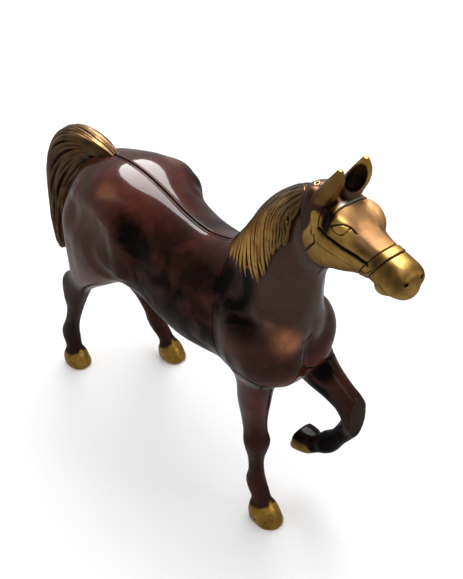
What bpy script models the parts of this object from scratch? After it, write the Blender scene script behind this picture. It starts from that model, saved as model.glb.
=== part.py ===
"""Striding horse statue, cast in brass and bronze as separate pieces and doweled together.

+X is forward, +Y is the horse's left and +Z is up. The three standing soles rest on Z = 0, and the
origin is below the middle of the overall box. A statue stands still, so nothing here moves.
"""

import math

import bmesh
import bpy
from mathutils import Matrix, Vector

# Driving dimensions, in metres.
WITHERS_HEIGHT = 0.200
WALL = 0.0038  # hollow body castings
MANE_THICKNESS = 0.0042
GAP = 0.0003  # between neighbouring castings
LEG_DOWEL = (0.0030, 0.016)  # radius, length
HEAD_DOWEL = (0.0040, 0.020)
TAIL_DOWEL = (0.0022, 0.016)
SEAM_DOWEL = (0.0020, 0.014)
SHOULDER_DOWEL = (0.0025, 0.016)
POLL_PIN = (0.0017, 0.008)

# The horse's tables are in two-hundredths of the withers height, measured from a point on the
# ground below the middle of the back. SHIFT brings the overall box over the origin.
UNIT = WITHERS_HEIGHT / 200
SHIFT = Vector((-11.583, 1.3, 0.0)) * UNIT

BODY_SIDES = 24
HEAD_SIDES = 20
LIMB_SIDES = 16
DOWEL_SIDES = 16

# A section is (front or top x, z, back or bottom x, z, y, half width, place of the widest point
# from front to back, roundness of the front, roundness of the back). A roundness of 2 is an
# ellipse and more is squarer.
TRUNK = [
    (-111, 166, -111, 142, 0, 10, 0.50, 2.0, 2.0),
    (-108, 182, -108, 124, 0, 22, 0.50, 2.1, 2.1),
    (-99, 190, -99, 114, 0, 31, 0.50, 2.1, 2.1),
    (-84, 195, -84, 109, 0, 36, 0.47, 1.95, 2.1),
    (-66, 198, -66, 108, 0, 37, 0.45, 1.9, 2.1),
    (-48, 197.5, -48, 110, 0, 35.5, 0.45, 1.85, 2.1),
    (-30, 194, -30, 110, 0, 34, 0.47, 1.85, 2.1),
    (-10, 189, -10, 107, 0, 34, 0.50, 1.85, 2.1),
    (10, 188, 10, 105.5, 0, 34.5, 0.50, 1.85, 2.05),
    (28, 193, 28, 107, 0, 33, 0.52, 1.8, 2.0),
    (42, 198.5, 42, 108, 0, 31, 0.55, 1.7, 2.0),
    (56, 198, 56, 108, 0, 30, 0.56, 1.8, 2.1),
    (70, 193, 70, 111, 0, 30, 0.58, 2.0, 2.1),
    (82, 182, 82, 116, 0, 28, 0.55, 2.1, 2.1),
    (92, 168, 92, 124, 0, 22, 0.50, 2.1, 2.1),
    (98, 155, 98, 135, 0, 11, 0.50, 2.0, 2.0),
]
NECK = [
    (26, 184, 78, 128, 0, 24, 0.55, 1.8, 2.2),
    (37, 197, 92, 146, 0, 24.5, 0.58, 1.7, 2.2),
    (47, 206, 99, 163, 0, 22.5, 0.58, 1.7, 2.2),
    (57, 217, 101, 179, 0, 20, 0.56, 1.7, 2.2),
    (67, 231, 103, 194, 0, 17.5, 0.54, 1.7, 2.2),
    (78, 247, 105, 206, 0, 15.5, 0.52, 1.8, 2.2),
    (90, 260, 108, 216, 0, 14, 0.50, 1.9, 2.2),
    (100, 268, 113, 224, 0, 12.5, 0.50, 2.0, 2.2),
]
# The head's own sections run from the poll to the lips: (along the forehead, height there, along
# the jaw, height there, half width, widest, two roundnesses).
HEAD = [
    (-5, -5, -5, -24, 8.5, 0.45, 2.2, 2.2),
    (2, 0, 0, -31, 11.5, 0.42, 2.4, 2.2),
    (10, 2, 8, -36, 13.5, 0.38, 2.6, 2.2),
    (18, 3, 16, -38.5, 15, 0.34, 2.8, 2.2),
    (26, 2, 24, -38, 15, 0.33, 2.8, 2.1),
    (34, -1, 32, -34.5, 12.8, 0.36, 2.6, 2.1),
    (43, -2.5, 40, -28.5, 10.7, 0.40, 2.5, 2.1),
    (52, -2.5, 48, -23.5, 9.8, 0.45, 2.5, 2.2),
    (61, -2, 55, -22, 10, 0.48, 2.6, 2.4),
    (69, -2.6, 61, -22.5, 10.2, 0.50, 2.6, 2.5),
    (74, -5, 66, -21.5, 9, 0.50, 2.5, 2.4),
    (77, -9, 71, -18, 5.5, 0.50, 2.2, 2.2),
]
POLL = Vector((103, 0, 275))
HEAD_PITCH = 10  # degrees below level
HEAD_YAW = -3  # degrees, turned slightly to the right

FORELEG_STANDING = [
    (84, 140, 46, 134, -17, 12, 0.50, 2.2, 2.2),
    (83, 122, 52, 117, -17, 12, 0.50, 2.2, 2.2),
    (80, 104, 56, 100, -17, 10, 0.48, 2.2, 2.1),
    (76.5, 86, 58.5, 84, -17, 7.8, 0.48, 2.3, 2.1),
    (75.5, 74, 60, 73, -17, 7, 0.48, 2.6, 2.2),
    (77, 65, 60.5, 65, -17, 7.8, 0.48, 2.8, 2.3),
    (75.5, 57, 61, 58, -17, 6.8, 0.48, 2.6, 2.2),
    (73.5, 48, 63, 48, -17.5, 4.8, 0.50, 2.3, 2.2),
    (73.5, 36, 63, 36, -17.5, 4.7, 0.50, 2.3, 2.2),
    (75, 27, 61.5, 28, -17.5, 5.7, 0.50, 2.4, 2.2),
    (77.5, 21, 62.5, 22, -17.5, 5.8, 0.50, 2.4, 2.2),
    (81, 16, 67, 14.5, -18, 5.5, 0.50, 2.4, 2.3),
    (84, 12.5, 67, 9.5, -18.4, 7.4, 0.50, 2.4, 2.4),
    (86, 10.5, 67, 6, -18.6, 8.6, 0.50, 2.3, 2.6),
    (89.5, 5, 67.5, 2.5, -18.8, 9.3, 0.52, 2.3, 2.6),
    (92, 0, 69, 0, -18.8, 9.6, 0.55, 2.3, 2.6),
]
FORELEG_RAISED = [
    (78, 146, 50, 122, 19, 12.5, 0.50, 2.2, 2.2),
    (90, 135, 64, 110, 20, 12, 0.50, 2.2, 2.2),
    (100, 126, 79, 103, 21, 10, 0.50, 2.2, 2.2),
    (111, 119, 94, 100, 21.5, 8, 0.50, 2.3, 2.1),
    (119, 113, 103, 97, 22, 7.4, 0.50, 2.6, 2.2),
    (125, 103, 108.5, 93, 22, 7.6, 0.50, 2.8, 2.3),
    (123.5, 92, 107, 89.5, 22, 6.9, 0.50, 2.6, 2.2),
    (117.5, 81, 106, 86, 22, 5, 0.50, 2.3, 2.2),
    (109.5, 68, 100, 74, 21.5, 4.7, 0.50, 2.3, 2.2),
    (104, 57, 92.5, 66, 21, 5.6, 0.50, 2.4, 2.2),
    (98, 51, 90, 63, 20.5, 5.8, 0.50, 2.4, 2.2),
    (92, 47, 87, 58.5, 20, 5.3, 0.50, 2.4, 2.3),
    (87, 43, 84.5, 58, 19.5, 7, 0.50, 2.4, 2.4),
    (84.5, 41.5, 82, 58, 19.3, 8.3, 0.50, 2.3, 2.6),
    (78, 39, 77.5, 58, 19, 9, 0.50, 2.3, 2.6),
    (72, 37.5, 74.5, 57, 19, 9.3, 0.50, 2.3, 2.6),
]
HIND_LEG_RIGHT = [
    (-40, 168, -92, 180, -19, 9, 0.50, 2.2, 2.2),
    (-36, 150, -106, 160, -21, 19, 0.50, 2.2, 2.2),
    (-43, 136, -108, 141, -23, 19, 0.45, 2.2, 2.2),
    (-58, 120, -108, 125, -24, 16.5, 0.42, 2.2, 2.2),
    (-74, 107, -108, 113, -25, 13, 0.42, 2.2, 2.2),
    (-86, 97, -109.5, 104, -25.5, 10, 0.42, 2.2, 2.2),
    (-95, 88, -115, 96, -26, 7.8, 0.45, 2.3, 2.0),
    (-101.5, 78, -123.5, 86, -26, 7.4, 0.50, 2.6, 2.2),
    (-106.5, 69, -125, 70, -26, 6.8, 0.50, 2.6, 2.2),
    (-111.5, 58, -124.5, 58, -26, 5.3, 0.50, 2.4, 2.2),
    (-118, 43, -129, 43, -26, 4.8, 0.50, 2.3, 2.2),
    (-122, 30, -135.5, 30, -26, 5.6, 0.50, 2.4, 2.2),
    (-122, 22, -136.5, 23, -26, 5.8, 0.50, 2.4, 2.2),
    (-121, 15, -133.5, 14, -26.3, 5.3, 0.50, 2.4, 2.3),
    (-119, 11.5, -134, 9, -26.5, 7, 0.50, 2.4, 2.4),
    (-117.5, 9.5, -135, 5.5, -26.5, 8, 0.50, 2.3, 2.6),
    (-115, 4.5, -134.5, 2, -26.5, 8.6, 0.52, 2.3, 2.6),
    (-113, 0, -133, 0, -26.5, 8.9, 0.55, 2.3, 2.6),
]
HIND_LEG_LEFT = [
    (-40, 168, -92, 180, 19, 9, 0.50, 2.2, 2.2),
    (-30, 148, -102, 160, 20, 18, 0.50, 2.2, 2.2),
    (-34, 133, -104, 140, 20.5, 18, 0.45, 2.2, 2.2),
    (-46, 116, -100, 124, 20, 16, 0.42, 2.2, 2.2),
    (-60, 102, -98, 111, 19, 13, 0.42, 2.2, 2.2),
    (-73, 91, -101, 100, 18, 10, 0.42, 2.2, 2.2),
    (-84, 82, -107, 91, 17, 7.5, 0.45, 2.3, 2.0),
    (-89, 74, -113, 82, 17, 7.4, 0.50, 2.6, 2.2),
    (-91, 65, -111, 66, 18.5, 6.8, 0.50, 2.6, 2.2),
    (-92, 56, -105, 54, 21, 5.2, 0.50, 2.4, 2.2),
    (-90, 42, -101, 41, 24, 4.8, 0.50, 2.3, 2.2),
    (-88, 30, -101.5, 29, 27, 5.6, 0.50, 2.4, 2.2),
    (-85.5, 22, -99.5, 22.5, 28.8, 5.8, 0.50, 2.4, 2.2),
    (-81, 15, -93, 14, 30, 5.3, 0.50, 2.4, 2.3),
    (-77, 11.5, -92, 9, 30.5, 7, 0.50, 2.4, 2.4),
    (-75, 9.5, -92.5, 5.5, 30.5, 8, 0.50, 2.3, 2.6),
    (-72, 4.5, -92, 2, 30.5, 8.6, 0.52, 2.3, 2.6),
    (-70, 0, -90.5, 0, 30.5, 8.9, 0.55, 2.3, 2.6),
]
TAIL = [
    (-78, 195, -82, 186, 0, 5, 0.50, 2.2, 2.2),
    (-90, 199, -90, 187, 0, 6.5, 0.50, 2.2, 2.2),
    (-103, 201, -98, 187, 0, 8, 0.50, 2.2, 2.2),
    (-117, 201, -109, 184, -1, 9.5, 0.50, 2.2, 2.2),
    (-130, 196, -115, 178, -2, 11, 0.50, 2.2, 2.2),
    (-141, 187.5, -118, 170, -3, 12, 0.50, 2.2, 2.2),
    (-149, 173, -122.5, 160, -4.5, 12.5, 0.50, 2.2, 2.2),
    (-153, 156, -127, 148, -6, 12, 0.50, 2.2, 2.2),
    (-154, 137, -130, 134, -8, 10.5, 0.50, 2.2, 2.2),
    (-154, 118, -134.5, 115, -10, 8.5, 0.50, 2.2, 2.2),
    (-153.5, 101, -139, 99, -11, 6.5, 0.50, 2.2, 2.2),
    (-153.5, 87, -146.5, 87, -12, 3, 0.50, 2.2, 2.2),
]
EAR = [  # the right ear; the left one is its mirror image
    (126, 268, 115, 267, -7, 4, 0.50, 2.2, 2.2),
    (127.5, 275, 115, 274, -7.4, 5, 0.50, 2.2, 2.2),
    (129, 282, 117, 282, -7.8, 5.3, 0.50, 2.2, 2.2),
    (129, 289, 120.5, 290, -8.2, 3.8, 0.50, 2.2, 2.2),
    (127.5, 296.5, 125, 297, -8.5, 1.2, 0.50, 2.0, 2.0),
]
EAR_HOLLOW = ((126, -4.2, 283.5), (4.0, 3.8, 8.5), 8)

# The places along each limb's table where its casting starts. Above it the limb is part of the
# body casting.
FORELEG_STANDING_JOINT = 1.35
FORELEG_RAISED_JOINT = 1.10
HIND_JOINT = 4.20
TAIL_JOINT = 0.5
THIGH_END = 0.03  # the thigh ends this far above its leg casting, which leaves a hairline gap

# Muscle masses: centre, half lengths along, across and deep, and nose-up pitch in degrees.
SHOULDER = ((64, 24, 150), (29, 14.5, 19), -55)
PECTORAL = ((86, 11, 143), (14, 13, 17), 0)

# The shoulder seam is a plane through this point, leaning back by this many degrees.
SHOULDER_SEAM = (48, 150)
SHOULDER_LEAN = 6.8

# The trunk's hollow: its x, and the metal left above it and below it. It is thick under the tail
# and over the legs, where the dowels go in.
HOLLOW = [
    (-100, 18, 14), (-84, 15, 16), (-66, 4.5, 16), (-48, 4, 14), (-30, 4, 6), (-10, 4, 4),
    (10, 4, 4), (28, 4, 6), (42, 4, 11), (56, 4, 16), (70, 4, 17), (86, 5, 14),
]
NECK_HOLLOW = (0.6, 4.8)  # places in the neck's table

MANE_OUTLINE = [  # x, z: the crest's side, then the lower edge of the locks
    (34, 192), (28, 204), (60, 244), (84, 272), (92, 282), (95, 270), (96, 256), (93, 240),
    (88, 223), (82, 211), (73, 203.5), (64, 201.5), (55, 199.5), (46, 195.5), (40, 192),
]
MANE_LEFT_EDGE = 3.5

FINISHES = {  # colour, roughness, metallic
    "lacquered_bronze": ((0.075, 0.022, 0.014, 1.0), 0.16, 0.6),
    "gold_brass": ((0.42, 0.26, 0.07, 1.0), 0.30, 1.0),
    "mane_brass": ((0.36, 0.21, 0.07, 1.0), 0.36, 1.0),
    "tail_bronze": ((0.20, 0.12, 0.05, 1.0), 0.34, 0.9),
    "dowel_brass": ((0.50, 0.38, 0.16, 1.0), 0.35, 1.0),
}


def clear_scene():
    for obj in list(bpy.data.objects):
        bpy.data.objects.remove(obj)


def collection(name):
    made = bpy.data.collections.new(name)
    bpy.context.scene.collection.children.link(made)
    return made


def finish(name):
    material = bpy.data.materials.get(name)
    if material is None:
        colour, roughness, metallic = FINISHES[name]
        material = bpy.data.materials.new(name)
        material.use_nodes = True
        shader = material.node_tree.nodes["Principled BSDF"]
        shader.inputs["Base Color"].default_value = colour
        shader.inputs["Roughness"].default_value = roughness
        shader.inputs["Metallic"].default_value = metallic
    return material


def home(point):
    """A point of the tables, in metres in the statue's frame."""
    return Vector(point) * UNIT + SHIFT


def spline(rows, place):
    """The table's row at a fractional place, on a Catmull-Rom curve through its rows."""
    last = len(rows) - 1
    i = min(max(int(place), 0), last - 1)
    t = place - i
    b, c = Vector(rows[i]), Vector(rows[i + 1])
    a = Vector(rows[i - 1]) if i else 2 * b - c
    d = Vector(rows[i + 2]) if i + 2 <= last else 2 * c - b
    return 0.5 * (
        2 * b + (c - a) * t + (2 * a - 5 * b + 4 * c - d) * t * t + (3 * b - a - 3 * c + d) * t**3
    )


def ring(row, sides, grow):
    """Points round one section. It starts at the front and goes round by the left."""
    front_x, front_z, back_x, back_z, y, half_width, widest, front_power, back_power = row
    front, back = Vector((front_x, y, front_z)), Vector((back_x, y, back_z))
    outward = (front - back).normalized() * grow
    centre = front.lerp(back, widest)
    front, back = front + outward, back - outward
    points = []
    for k in range(sides):
        turn = 2 * math.pi * k / sides
        c, s = math.cos(turn), math.sin(turn)
        end, power = (front, front_power) if c >= 0 else (back, back_power)
        across = math.copysign(abs(s) ** (2 / power), s) * (half_width + grow)
        points.append(centre + (end - centre) * abs(c) ** (2 / power) + Vector((0, across, 0)))
    return points


def mesh_object(name, bm, group):
    bmesh.ops.recalc_face_normals(bm, faces=bm.faces)
    mesh = bpy.data.meshes.new(name)
    bm.to_mesh(mesh)
    bm.free()
    obj = bpy.data.objects.new(name, mesh)
    group.objects.link(obj)
    return obj


def loft(name, rows, group, sides=LIMB_SIDES, steps=1, first=0.0, last=None, grow=0.0, shape=home):
    """A closed skin through the sections of a table, from place first to place last."""
    last = len(rows) - 1 if last is None else last
    places = [first] + [
        p / steps for p in range(1, (len(rows) - 1) * steps + 1)
        if first + 0.3 / steps < p / steps < last - 0.3 / steps
    ] + [last]
    bm = bmesh.new()
    rings = []
    for place in places:
        points = ring(spline(rows, place), sides, grow)
        rings.append([bm.verts.new(shape(p)) for p in points])
    for lower, upper in zip(rings, rings[1:]):
        for k in range(sides):
            j = (k + 1) % sides
            bm.faces.new((lower[k], lower[j], upper[j], upper[k]))
    bm.faces.new(reversed(rings[0]))
    bm.faces.new(rings[-1])
    return mesh_object(name, bm, group)


def ellipsoid(name, mass, side, group, grow=0.0, segments=16):
    """A muscle mass or a hollow on one side of the horse: side is 1 on the left, -1 on the right."""
    centre, radii, pitch = mass
    bm = bmesh.new()
    bmesh.ops.create_uvsphere(bm, u_segments=segments, v_segments=segments // 2, radius=1.0)
    size = Matrix.Diagonal([r + grow for r in radii] + [1.0])
    turn = Matrix.Rotation(math.radians(-pitch), 4, "Y")
    bmesh.ops.transform(bm, matrix=turn @ size, verts=bm.verts)
    for vert in bm.verts:
        vert.co = home(vert.co + Vector((centre[0], centre[1] * side, centre[2])))
    return mesh_object(name, bm, group)


def box(name, low, high, group, pivot=(0, 0, 0), lean=0.0):
    """A block between two corners, leaned back about a pivot by this many degrees."""
    bm = bmesh.new()
    bmesh.ops.create_cube(bm, size=1.0)
    for vert in bm.verts:
        co = Vector([(a if c < 0 else b) for c, a, b in zip(vert.co, low, high)])
        turned = Matrix.Rotation(math.radians(-lean), 3, "Y") @ (co - Vector(pivot))
        vert.co = home(turned + Vector(pivot))
    return mesh_object(name, bm, group)


def cylinder(name, middle, direction, radius, length, group):
    """A round bar, its middle in metres."""
    bm = bmesh.new()
    bmesh.ops.create_cone(
        bm, cap_ends=True, segments=DOWEL_SIDES, radius1=radius, radius2=radius, depth=length
    )
    obj = mesh_object(name, bm, group)
    obj.location = middle
    obj.rotation_mode = "QUATERNION"
    obj.rotation_quaternion = Vector(direction).to_track_quat("Z", "Y")
    return obj


def boolean(obj, operation, *others, solver="EXACT"):
    for other in others:
        modifier = obj.modifiers.new(f"{operation.lower()} {other.name}", "BOOLEAN")
        modifier.operation = operation
        modifier.object = other
        modifier.solver = solver


def dress(obj, finish_name):
    obj.data.materials.append(finish(finish_name))
    obj.data.shade_smooth()
    obj.data.set_sharp_from_angle(angle=math.radians(40))


def head_shape(point):
    """From the head's own axes, along, across and up from the poll, to the statue's frame."""
    pitch = Matrix.Rotation(math.radians(HEAD_PITCH), 3, "Y")
    yaw = Matrix.Rotation(math.radians(HEAD_YAW), 3, "Z")
    return home(yaw @ pitch @ point + POLL)


def head_rows():
    return [(a, b, c, d, 0, w, widest, p, q) for a, b, c, d, w, widest, p, q in HEAD]


def hollow_rows():
    """The trunk's sections, inset by the wall at the sides and by the hollow's table above and below."""
    rows = []
    for x, above, below in HOLLOW:
        place = next(i for i, row in enumerate(TRUNK) if row[0] > x) - 1
        place += (x - TRUNK[place][0]) / (TRUNK[place + 1][0] - TRUNK[place][0])
        _, top, _, bottom, y, half_width, widest, p, q = spline(TRUNK, place)
        middle = top + (bottom - top) * widest
        top, bottom = top - above, bottom + below
        share = (top - middle) / (top - bottom)
        rows.append((x, top, x, bottom, y, half_width - WALL / UNIT, share, p, q))
    return rows


def joint_of(rows, place):
    """The middle of a limb's section and the direction there along the limb, towards its end."""
    def middle(at):
        row = spline(rows, at)
        return home((Vector((row[0], row[4], row[1])) + Vector((row[2], row[4], row[3]))) / 2)
    return middle(place), (middle(place + 0.5) - middle(place - 0.5)).normalized()


def prism(name, outline, low_y, high_y, group):
    """A side-view outline, drawn through the horse from its right to its left."""
    bm = bmesh.new()
    face = bm.faces.new([bm.verts.new(home((x, low_y, z))) for x, z in outline])
    made = bmesh.ops.extrude_face_region(bm, geom=[face])
    moved = [item for item in made["geom"] if isinstance(item, bmesh.types.BMVert)]
    bmesh.ops.translate(bm, vec=Vector((0, (high_y - low_y) * UNIT, 0)), verts=moved)
    bmesh.ops.triangulate(bm, faces=bm.faces)
    return mesh_object(name, bm, group)


clear_scene()
statue = collection("horse_statue")
cutters = collection("horse_statue_cutters")
gap = GAP / UNIT
far = 400  # past the statue on every side

LEGS = {
    "foreleg_right": (FORELEG_STANDING, FORELEG_STANDING_JOINT),
    "foreleg_left": (FORELEG_RAISED, FORELEG_RAISED_JOINT),
    "hind_leg_right": (HIND_LEG_RIGHT, HIND_JOINT),
    "hind_leg_left": (HIND_LEG_LEFT, HIND_JOINT),
}


def dowel(name, middle, direction, size):
    """A brass dowel, and the hole for it that both neighbours take."""
    radius, length = size
    made = cylinder(name, middle, direction, radius, length, statue)
    dress(made, "dowel_brass")
    return cylinder(
        f"{name}_hole", middle, direction, radius + GAP, length + 2 * GAP, cutters
    )


def dowel_holes():
    holes = {}
    for leg, (rows, place) in LEGS.items():
        middle, along = joint_of(rows, place)
        holes[leg] = dowel(f"{leg}_dowel", middle, along, LEG_DOWEL)
    top, bottom = Vector(NECK[-1][:2]), Vector(NECK[-1][2:4])
    middle = (top + bottom) / 2
    across = (top - bottom).normalized()
    holes["head"] = dowel(
        "head_dowel", home((middle.x, 0, middle.y)), (across.y, 0, -across.x), HEAD_DOWEL
    )
    holes["tail"] = dowel("tail_dowel", home((-90, 0, 189)), (-10, 0, 6), TAIL_DOWEL)
    for place, x, z in (("rear", -103.5, 150), ("middle", -44, 118), ("front", 38, 113)):
        holes[f"seam_{place}"] = dowel(f"seam_dowel_{place}", home((x, 0, z)), (0, 1, 0), SEAM_DOWEL)
    for side, y in (("right", -13), ("left", 13)):
        holes[f"shoulder_{side}"] = dowel(
            f"shoulder_dowel_{side}", home((51.5, y, 114.5)), (1, 0, 0), SHOULDER_DOWEL
        )
    return holes


def make_leg(name, holes):
    rows, place = LEGS[name]
    leg = loft(name, rows, statue, first=place)
    boolean(leg, "DIFFERENCE", holes[name])
    dress(leg, "lacquered_bronze")


def leg_clearance(name):
    """The space a leg casting takes out of the body, a gap wider than the leg."""
    rows, place = LEGS[name]
    _, along = joint_of(rows, place)
    made = loft(f"{name}_clearance", rows, cutters, first=place, last=place + 3, grow=2 * gap)
    made.location = -along * GAP
    return made


def make_trunk(side_name, side, shared, holes):
    """Half of the barrel and croup, with the thigh of its side, split down the spine."""
    trunk = loft(f"trunk_{side_name}", TRUNK, statue, sides=BODY_SIDES)
    leg = f"hind_leg_{side_name}"
    rows, place = LEGS[leg]
    thigh = loft(f"{leg}_thigh", rows, cutters, last=place - THIGH_END)
    low, high = sorted((side * gap / 2, side * far))
    half = box(f"trunk_{side_name}_half", (-far, low, -far), (far, high, far), cutters)
    boolean(trunk, "INTERSECT", half)
    boolean(trunk, "DIFFERENCE", shared["front"])
    boolean(trunk, "UNION", thigh)
    boolean(trunk, "DIFFERENCE", shared["hollow"], shared["tail"])
    drilled = [leg, "tail", "seam_rear", "seam_middle", "seam_front", f"shoulder_{side_name}"]
    boolean(trunk, "DIFFERENCE", *(holes[key] for key in drilled), solver="MANIFOLD")
    dress(trunk, "lacquered_bronze")


def make_forequarters(shared, holes):
    """Withers, shoulders, chest and neck in one hollow casting that is open at the shoulder seam."""
    body = loft("forequarters", TRUNK, statue, sides=BODY_SIDES)
    roots = []
    for leg in ("foreleg_right", "foreleg_left"):
        rows, place = LEGS[leg]
        roots.append(loft(f"{leg}_root", rows, cutters, last=place))
    boolean(body, "UNION", shared["neck"], *shared["muscles"], *roots)
    boolean(body, "DIFFERENCE", shared["behind"], shared["above_neck"])
    boolean(body, "DIFFERENCE", shared["hollow"], shared["neck_hollow"])
    boolean(body, "DIFFERENCE", leg_clearance("foreleg_right"), leg_clearance("foreleg_left"))
    for key in ("foreleg_right", "foreleg_left", "head", "shoulder_right", "shoulder_left"):
        boolean(body, "DIFFERENCE", holes[key])
    dress(body, "lacquered_bronze")


def make_head(shared, holes):
    head = loft("head", head_rows(), statue, sides=HEAD_SIDES, shape=head_shape)
    boolean(head, "DIFFERENCE", shared["below_head"], holes["head"], holes["poll"])
    dress(head, "gold_brass")


def make_ear(side_name, side, shared):
    rows = [row[:4] + (-side * row[4],) + row[5:] for row in EAR]
    ear = loft(f"ear_{side_name}", rows, statue)
    centre, radii, pitch = EAR_HOLLOW
    hollow = ellipsoid(
        f"ear_{side_name}_hollow", ((centre[0], -centre[1], centre[2]), radii, pitch), side, cutters
    )
    boolean(ear, "DIFFERENCE", shared["head_clearance"], hollow)
    dress(ear, "gold_brass")


def make_mane(shared):
    """A thin casting over the crest and the right side of the neck."""
    mane = loft(
        "mane", NECK, statue, sides=BODY_SIDES, grow=gap + MANE_THICKNESS / UNIT
    )
    boolean(mane, "INTERSECT", prism("mane_outline", MANE_OUTLINE, -far, MANE_LEFT_EDGE, cutters))
    boolean(
        mane, "DIFFERENCE",
        loft("neck_clearance", NECK, cutters, sides=BODY_SIDES, grow=gap),
        loft("trunk_clearance", TRUNK, cutters, sides=BODY_SIDES, grow=2 * gap),
        shared["head_clearance"],
        ellipsoid("shoulder_clearance", SHOULDER, -1, cutters, grow=gap),
    )
    dress(mane, "mane_brass")


def make_tail(holes):
    tail = loft("tail", TAIL, statue, first=TAIL_JOINT)
    boolean(tail, "DIFFERENCE", holes["tail"])
    dress(tail, "tail_bronze")


def shared_forms():
    """The lofts and planes that more than one casting is joined with or cut by."""
    seam_x, seam_z = SHOULDER_SEAM
    pivot = (seam_x, 0, seam_z)
    top, bottom = Vector(NECK[-1][:2]), Vector(NECK[-1][2:4])
    lean = math.degrees(math.atan2(bottom.x - top.x, top.y - bottom.y))
    neck_end = (top.x, 0, top.y)

    def leaned(name, x_low, x_high, about, angle):
        low, high = (about[0] + x_low, -far, -far), (about[0] + x_high, far, far)
        return box(name, low, high, cutters, about, angle)

    forms = {
        "front": leaned("front_of_seam", -gap / 2, far, pivot, SHOULDER_LEAN),
        "behind": leaned("behind_seam", -far, gap / 2, pivot, SHOULDER_LEAN),
        "hollow": loft("trunk_hollow", hollow_rows(), cutters),
        "tail": loft("tail_clearance", TAIL, cutters, first=TAIL_JOINT, last=4, grow=gap),
        "neck": loft("neck_form", NECK, cutters, sides=BODY_SIDES),
        "neck_hollow": loft(
            "neck_hollow", NECK, cutters, first=NECK_HOLLOW[0], last=NECK_HOLLOW[1],
            grow=-WALL / UNIT,
        ),
        "above_neck": leaned("above_neck", -gap / 2, far, neck_end, lean),
        "below_head": leaned("below_head", -far, gap / 2, neck_end, lean),
        "head_clearance": loft(
            "head_clearance", head_rows(), cutters, sides=HEAD_SIDES, grow=gap, shape=head_shape
        ),
        "muscles": [
            ellipsoid("shoulder_right", SHOULDER, -1, cutters),
            ellipsoid("shoulder_left", SHOULDER, 1, cutters),
            ellipsoid("pectoral_right", PECTORAL, -1, cutters),
            ellipsoid("pectoral_left", PECTORAL, 1, cutters),
        ],
    }
    forms["tail"].location.x = GAP
    return forms


def hide_cutters():
    for obj in cutters.objects:
        obj.hide_render = True
        obj.display_type = "WIRE"


shared = shared_forms()
holes = dowel_holes()
holes["poll"] = dowel("poll_pin", home((107.5, -3, 270.8)), (-0.15, -0.25, 0.95), POLL_PIN)
for leg_name in LEGS:
    make_leg(leg_name, holes)
make_trunk("right", -1, shared, holes)
make_trunk("left", 1, shared, holes)
make_forequarters(shared, holes)
make_head(shared, holes)
make_ear("right", -1, shared)
make_ear("left", 1, shared)
make_mane(shared)
make_tail(holes)
hide_cutters()
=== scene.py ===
"""Looks of the striding horse statue: a lacquered bronze body with a gold brass head, mane, tail
and hooves, on a pale studio floor.

+X is forward, +Y is the horse's left and +Z is up. The tables are in millimetres, measured from a
point on the ground below the middle of the back; home() brings them to the frame, in metres.
"""

import math

import bmesh
import bpy
import numpy as np
import openvdb
from mathutils import Matrix, Vector
from mathutils.geometry import tessellate_polygon


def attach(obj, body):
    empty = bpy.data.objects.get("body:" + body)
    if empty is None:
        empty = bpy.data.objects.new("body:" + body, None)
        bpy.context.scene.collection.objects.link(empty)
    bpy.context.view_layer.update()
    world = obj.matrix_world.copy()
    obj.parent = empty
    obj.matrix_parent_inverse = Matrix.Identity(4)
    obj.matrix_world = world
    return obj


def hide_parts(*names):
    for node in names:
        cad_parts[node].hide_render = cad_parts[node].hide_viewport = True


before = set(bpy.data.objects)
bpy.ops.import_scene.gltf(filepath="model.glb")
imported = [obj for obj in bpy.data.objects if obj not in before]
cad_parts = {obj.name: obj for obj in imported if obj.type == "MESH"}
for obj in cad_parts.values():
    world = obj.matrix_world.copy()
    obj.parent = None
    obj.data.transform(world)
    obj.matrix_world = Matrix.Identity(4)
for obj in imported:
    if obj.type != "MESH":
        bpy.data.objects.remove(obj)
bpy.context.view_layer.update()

UNIT = 0.001
SHIFT = np.array((-11.583, 1.3, 0.0))
MIRROR = (1, -1, 1)
SHARP_ANGLE = 50  # degrees between faces from which an edge is shown sharp

# The grids that solids are joined on: low corner, high corner, step, depth of the distances.
GRIDS = {
    "body": ((-142, -44, -4), (118, 44, 276), 0.9, 8.0),
    "head": ((-10, -20, -46), (86, 20, 16), 0.45, 4.0),  # in the head's own axes
    "ear": ((100, -17, 264), (134, 17, 300), 0.4, 3.0),
    "mane": ((24, -28, 186), (106, 8, 288), 0.42, 3.0),
    "poll_pin": ((100, -10, 262), (114, 4, 280), 0.16, 1.0),
    "tail": ((-160, -30, 80), (-74, 16, 208), 0.42, 2.6),
}

# A section is (front or top x, z, back or bottom x, z, y, half width, place of the widest point
# from front to back, roundness of the front, roundness of the back). A roundness of 2 is an
# ellipse and more is squarer.
# The trunk's sections are upright: (x, top, bottom, half width, widest, two roundnesses).
UPRIGHT = [
    (-111, 166, 142, 10, 0.50, 2.0, 2.0),
    (-108, 182, 124, 22, 0.50, 2.1, 2.1),
    (-99, 190, 114, 31, 0.50, 2.1, 2.1),
    (-84, 195, 109, 36, 0.47, 2.2, 2.1),
    (-66, 198, 108, 37, 0.44, 2.6, 2.1),
    (-48, 197.5, 110, 36, 0.44, 2.55, 2.1),
    (-30, 194, 110, 34, 0.47, 2.1, 2.1),
    (-10, 189, 107, 34, 0.50, 1.85, 2.1),
    (10, 188, 105.5, 34.5, 0.50, 1.85, 2.05),
    (28, 193, 107, 33, 0.52, 1.8, 2.0),
    (42, 198.5, 108, 31, 0.55, 1.7, 2.0),
    (56, 198, 108, 30, 0.56, 1.8, 2.1),
    (70, 193, 111, 30, 0.58, 2.0, 2.1),
    (82, 182, 116, 28, 0.55, 2.1, 2.1),
    (92, 168, 124, 22, 0.50, 2.1, 2.1),
    (98, 155, 135, 11, 0.50, 2.0, 2.0),
]
TRUNK = [(x, top, x, low, 0, *rest) for x, top, low, *rest in UPRIGHT]
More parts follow.
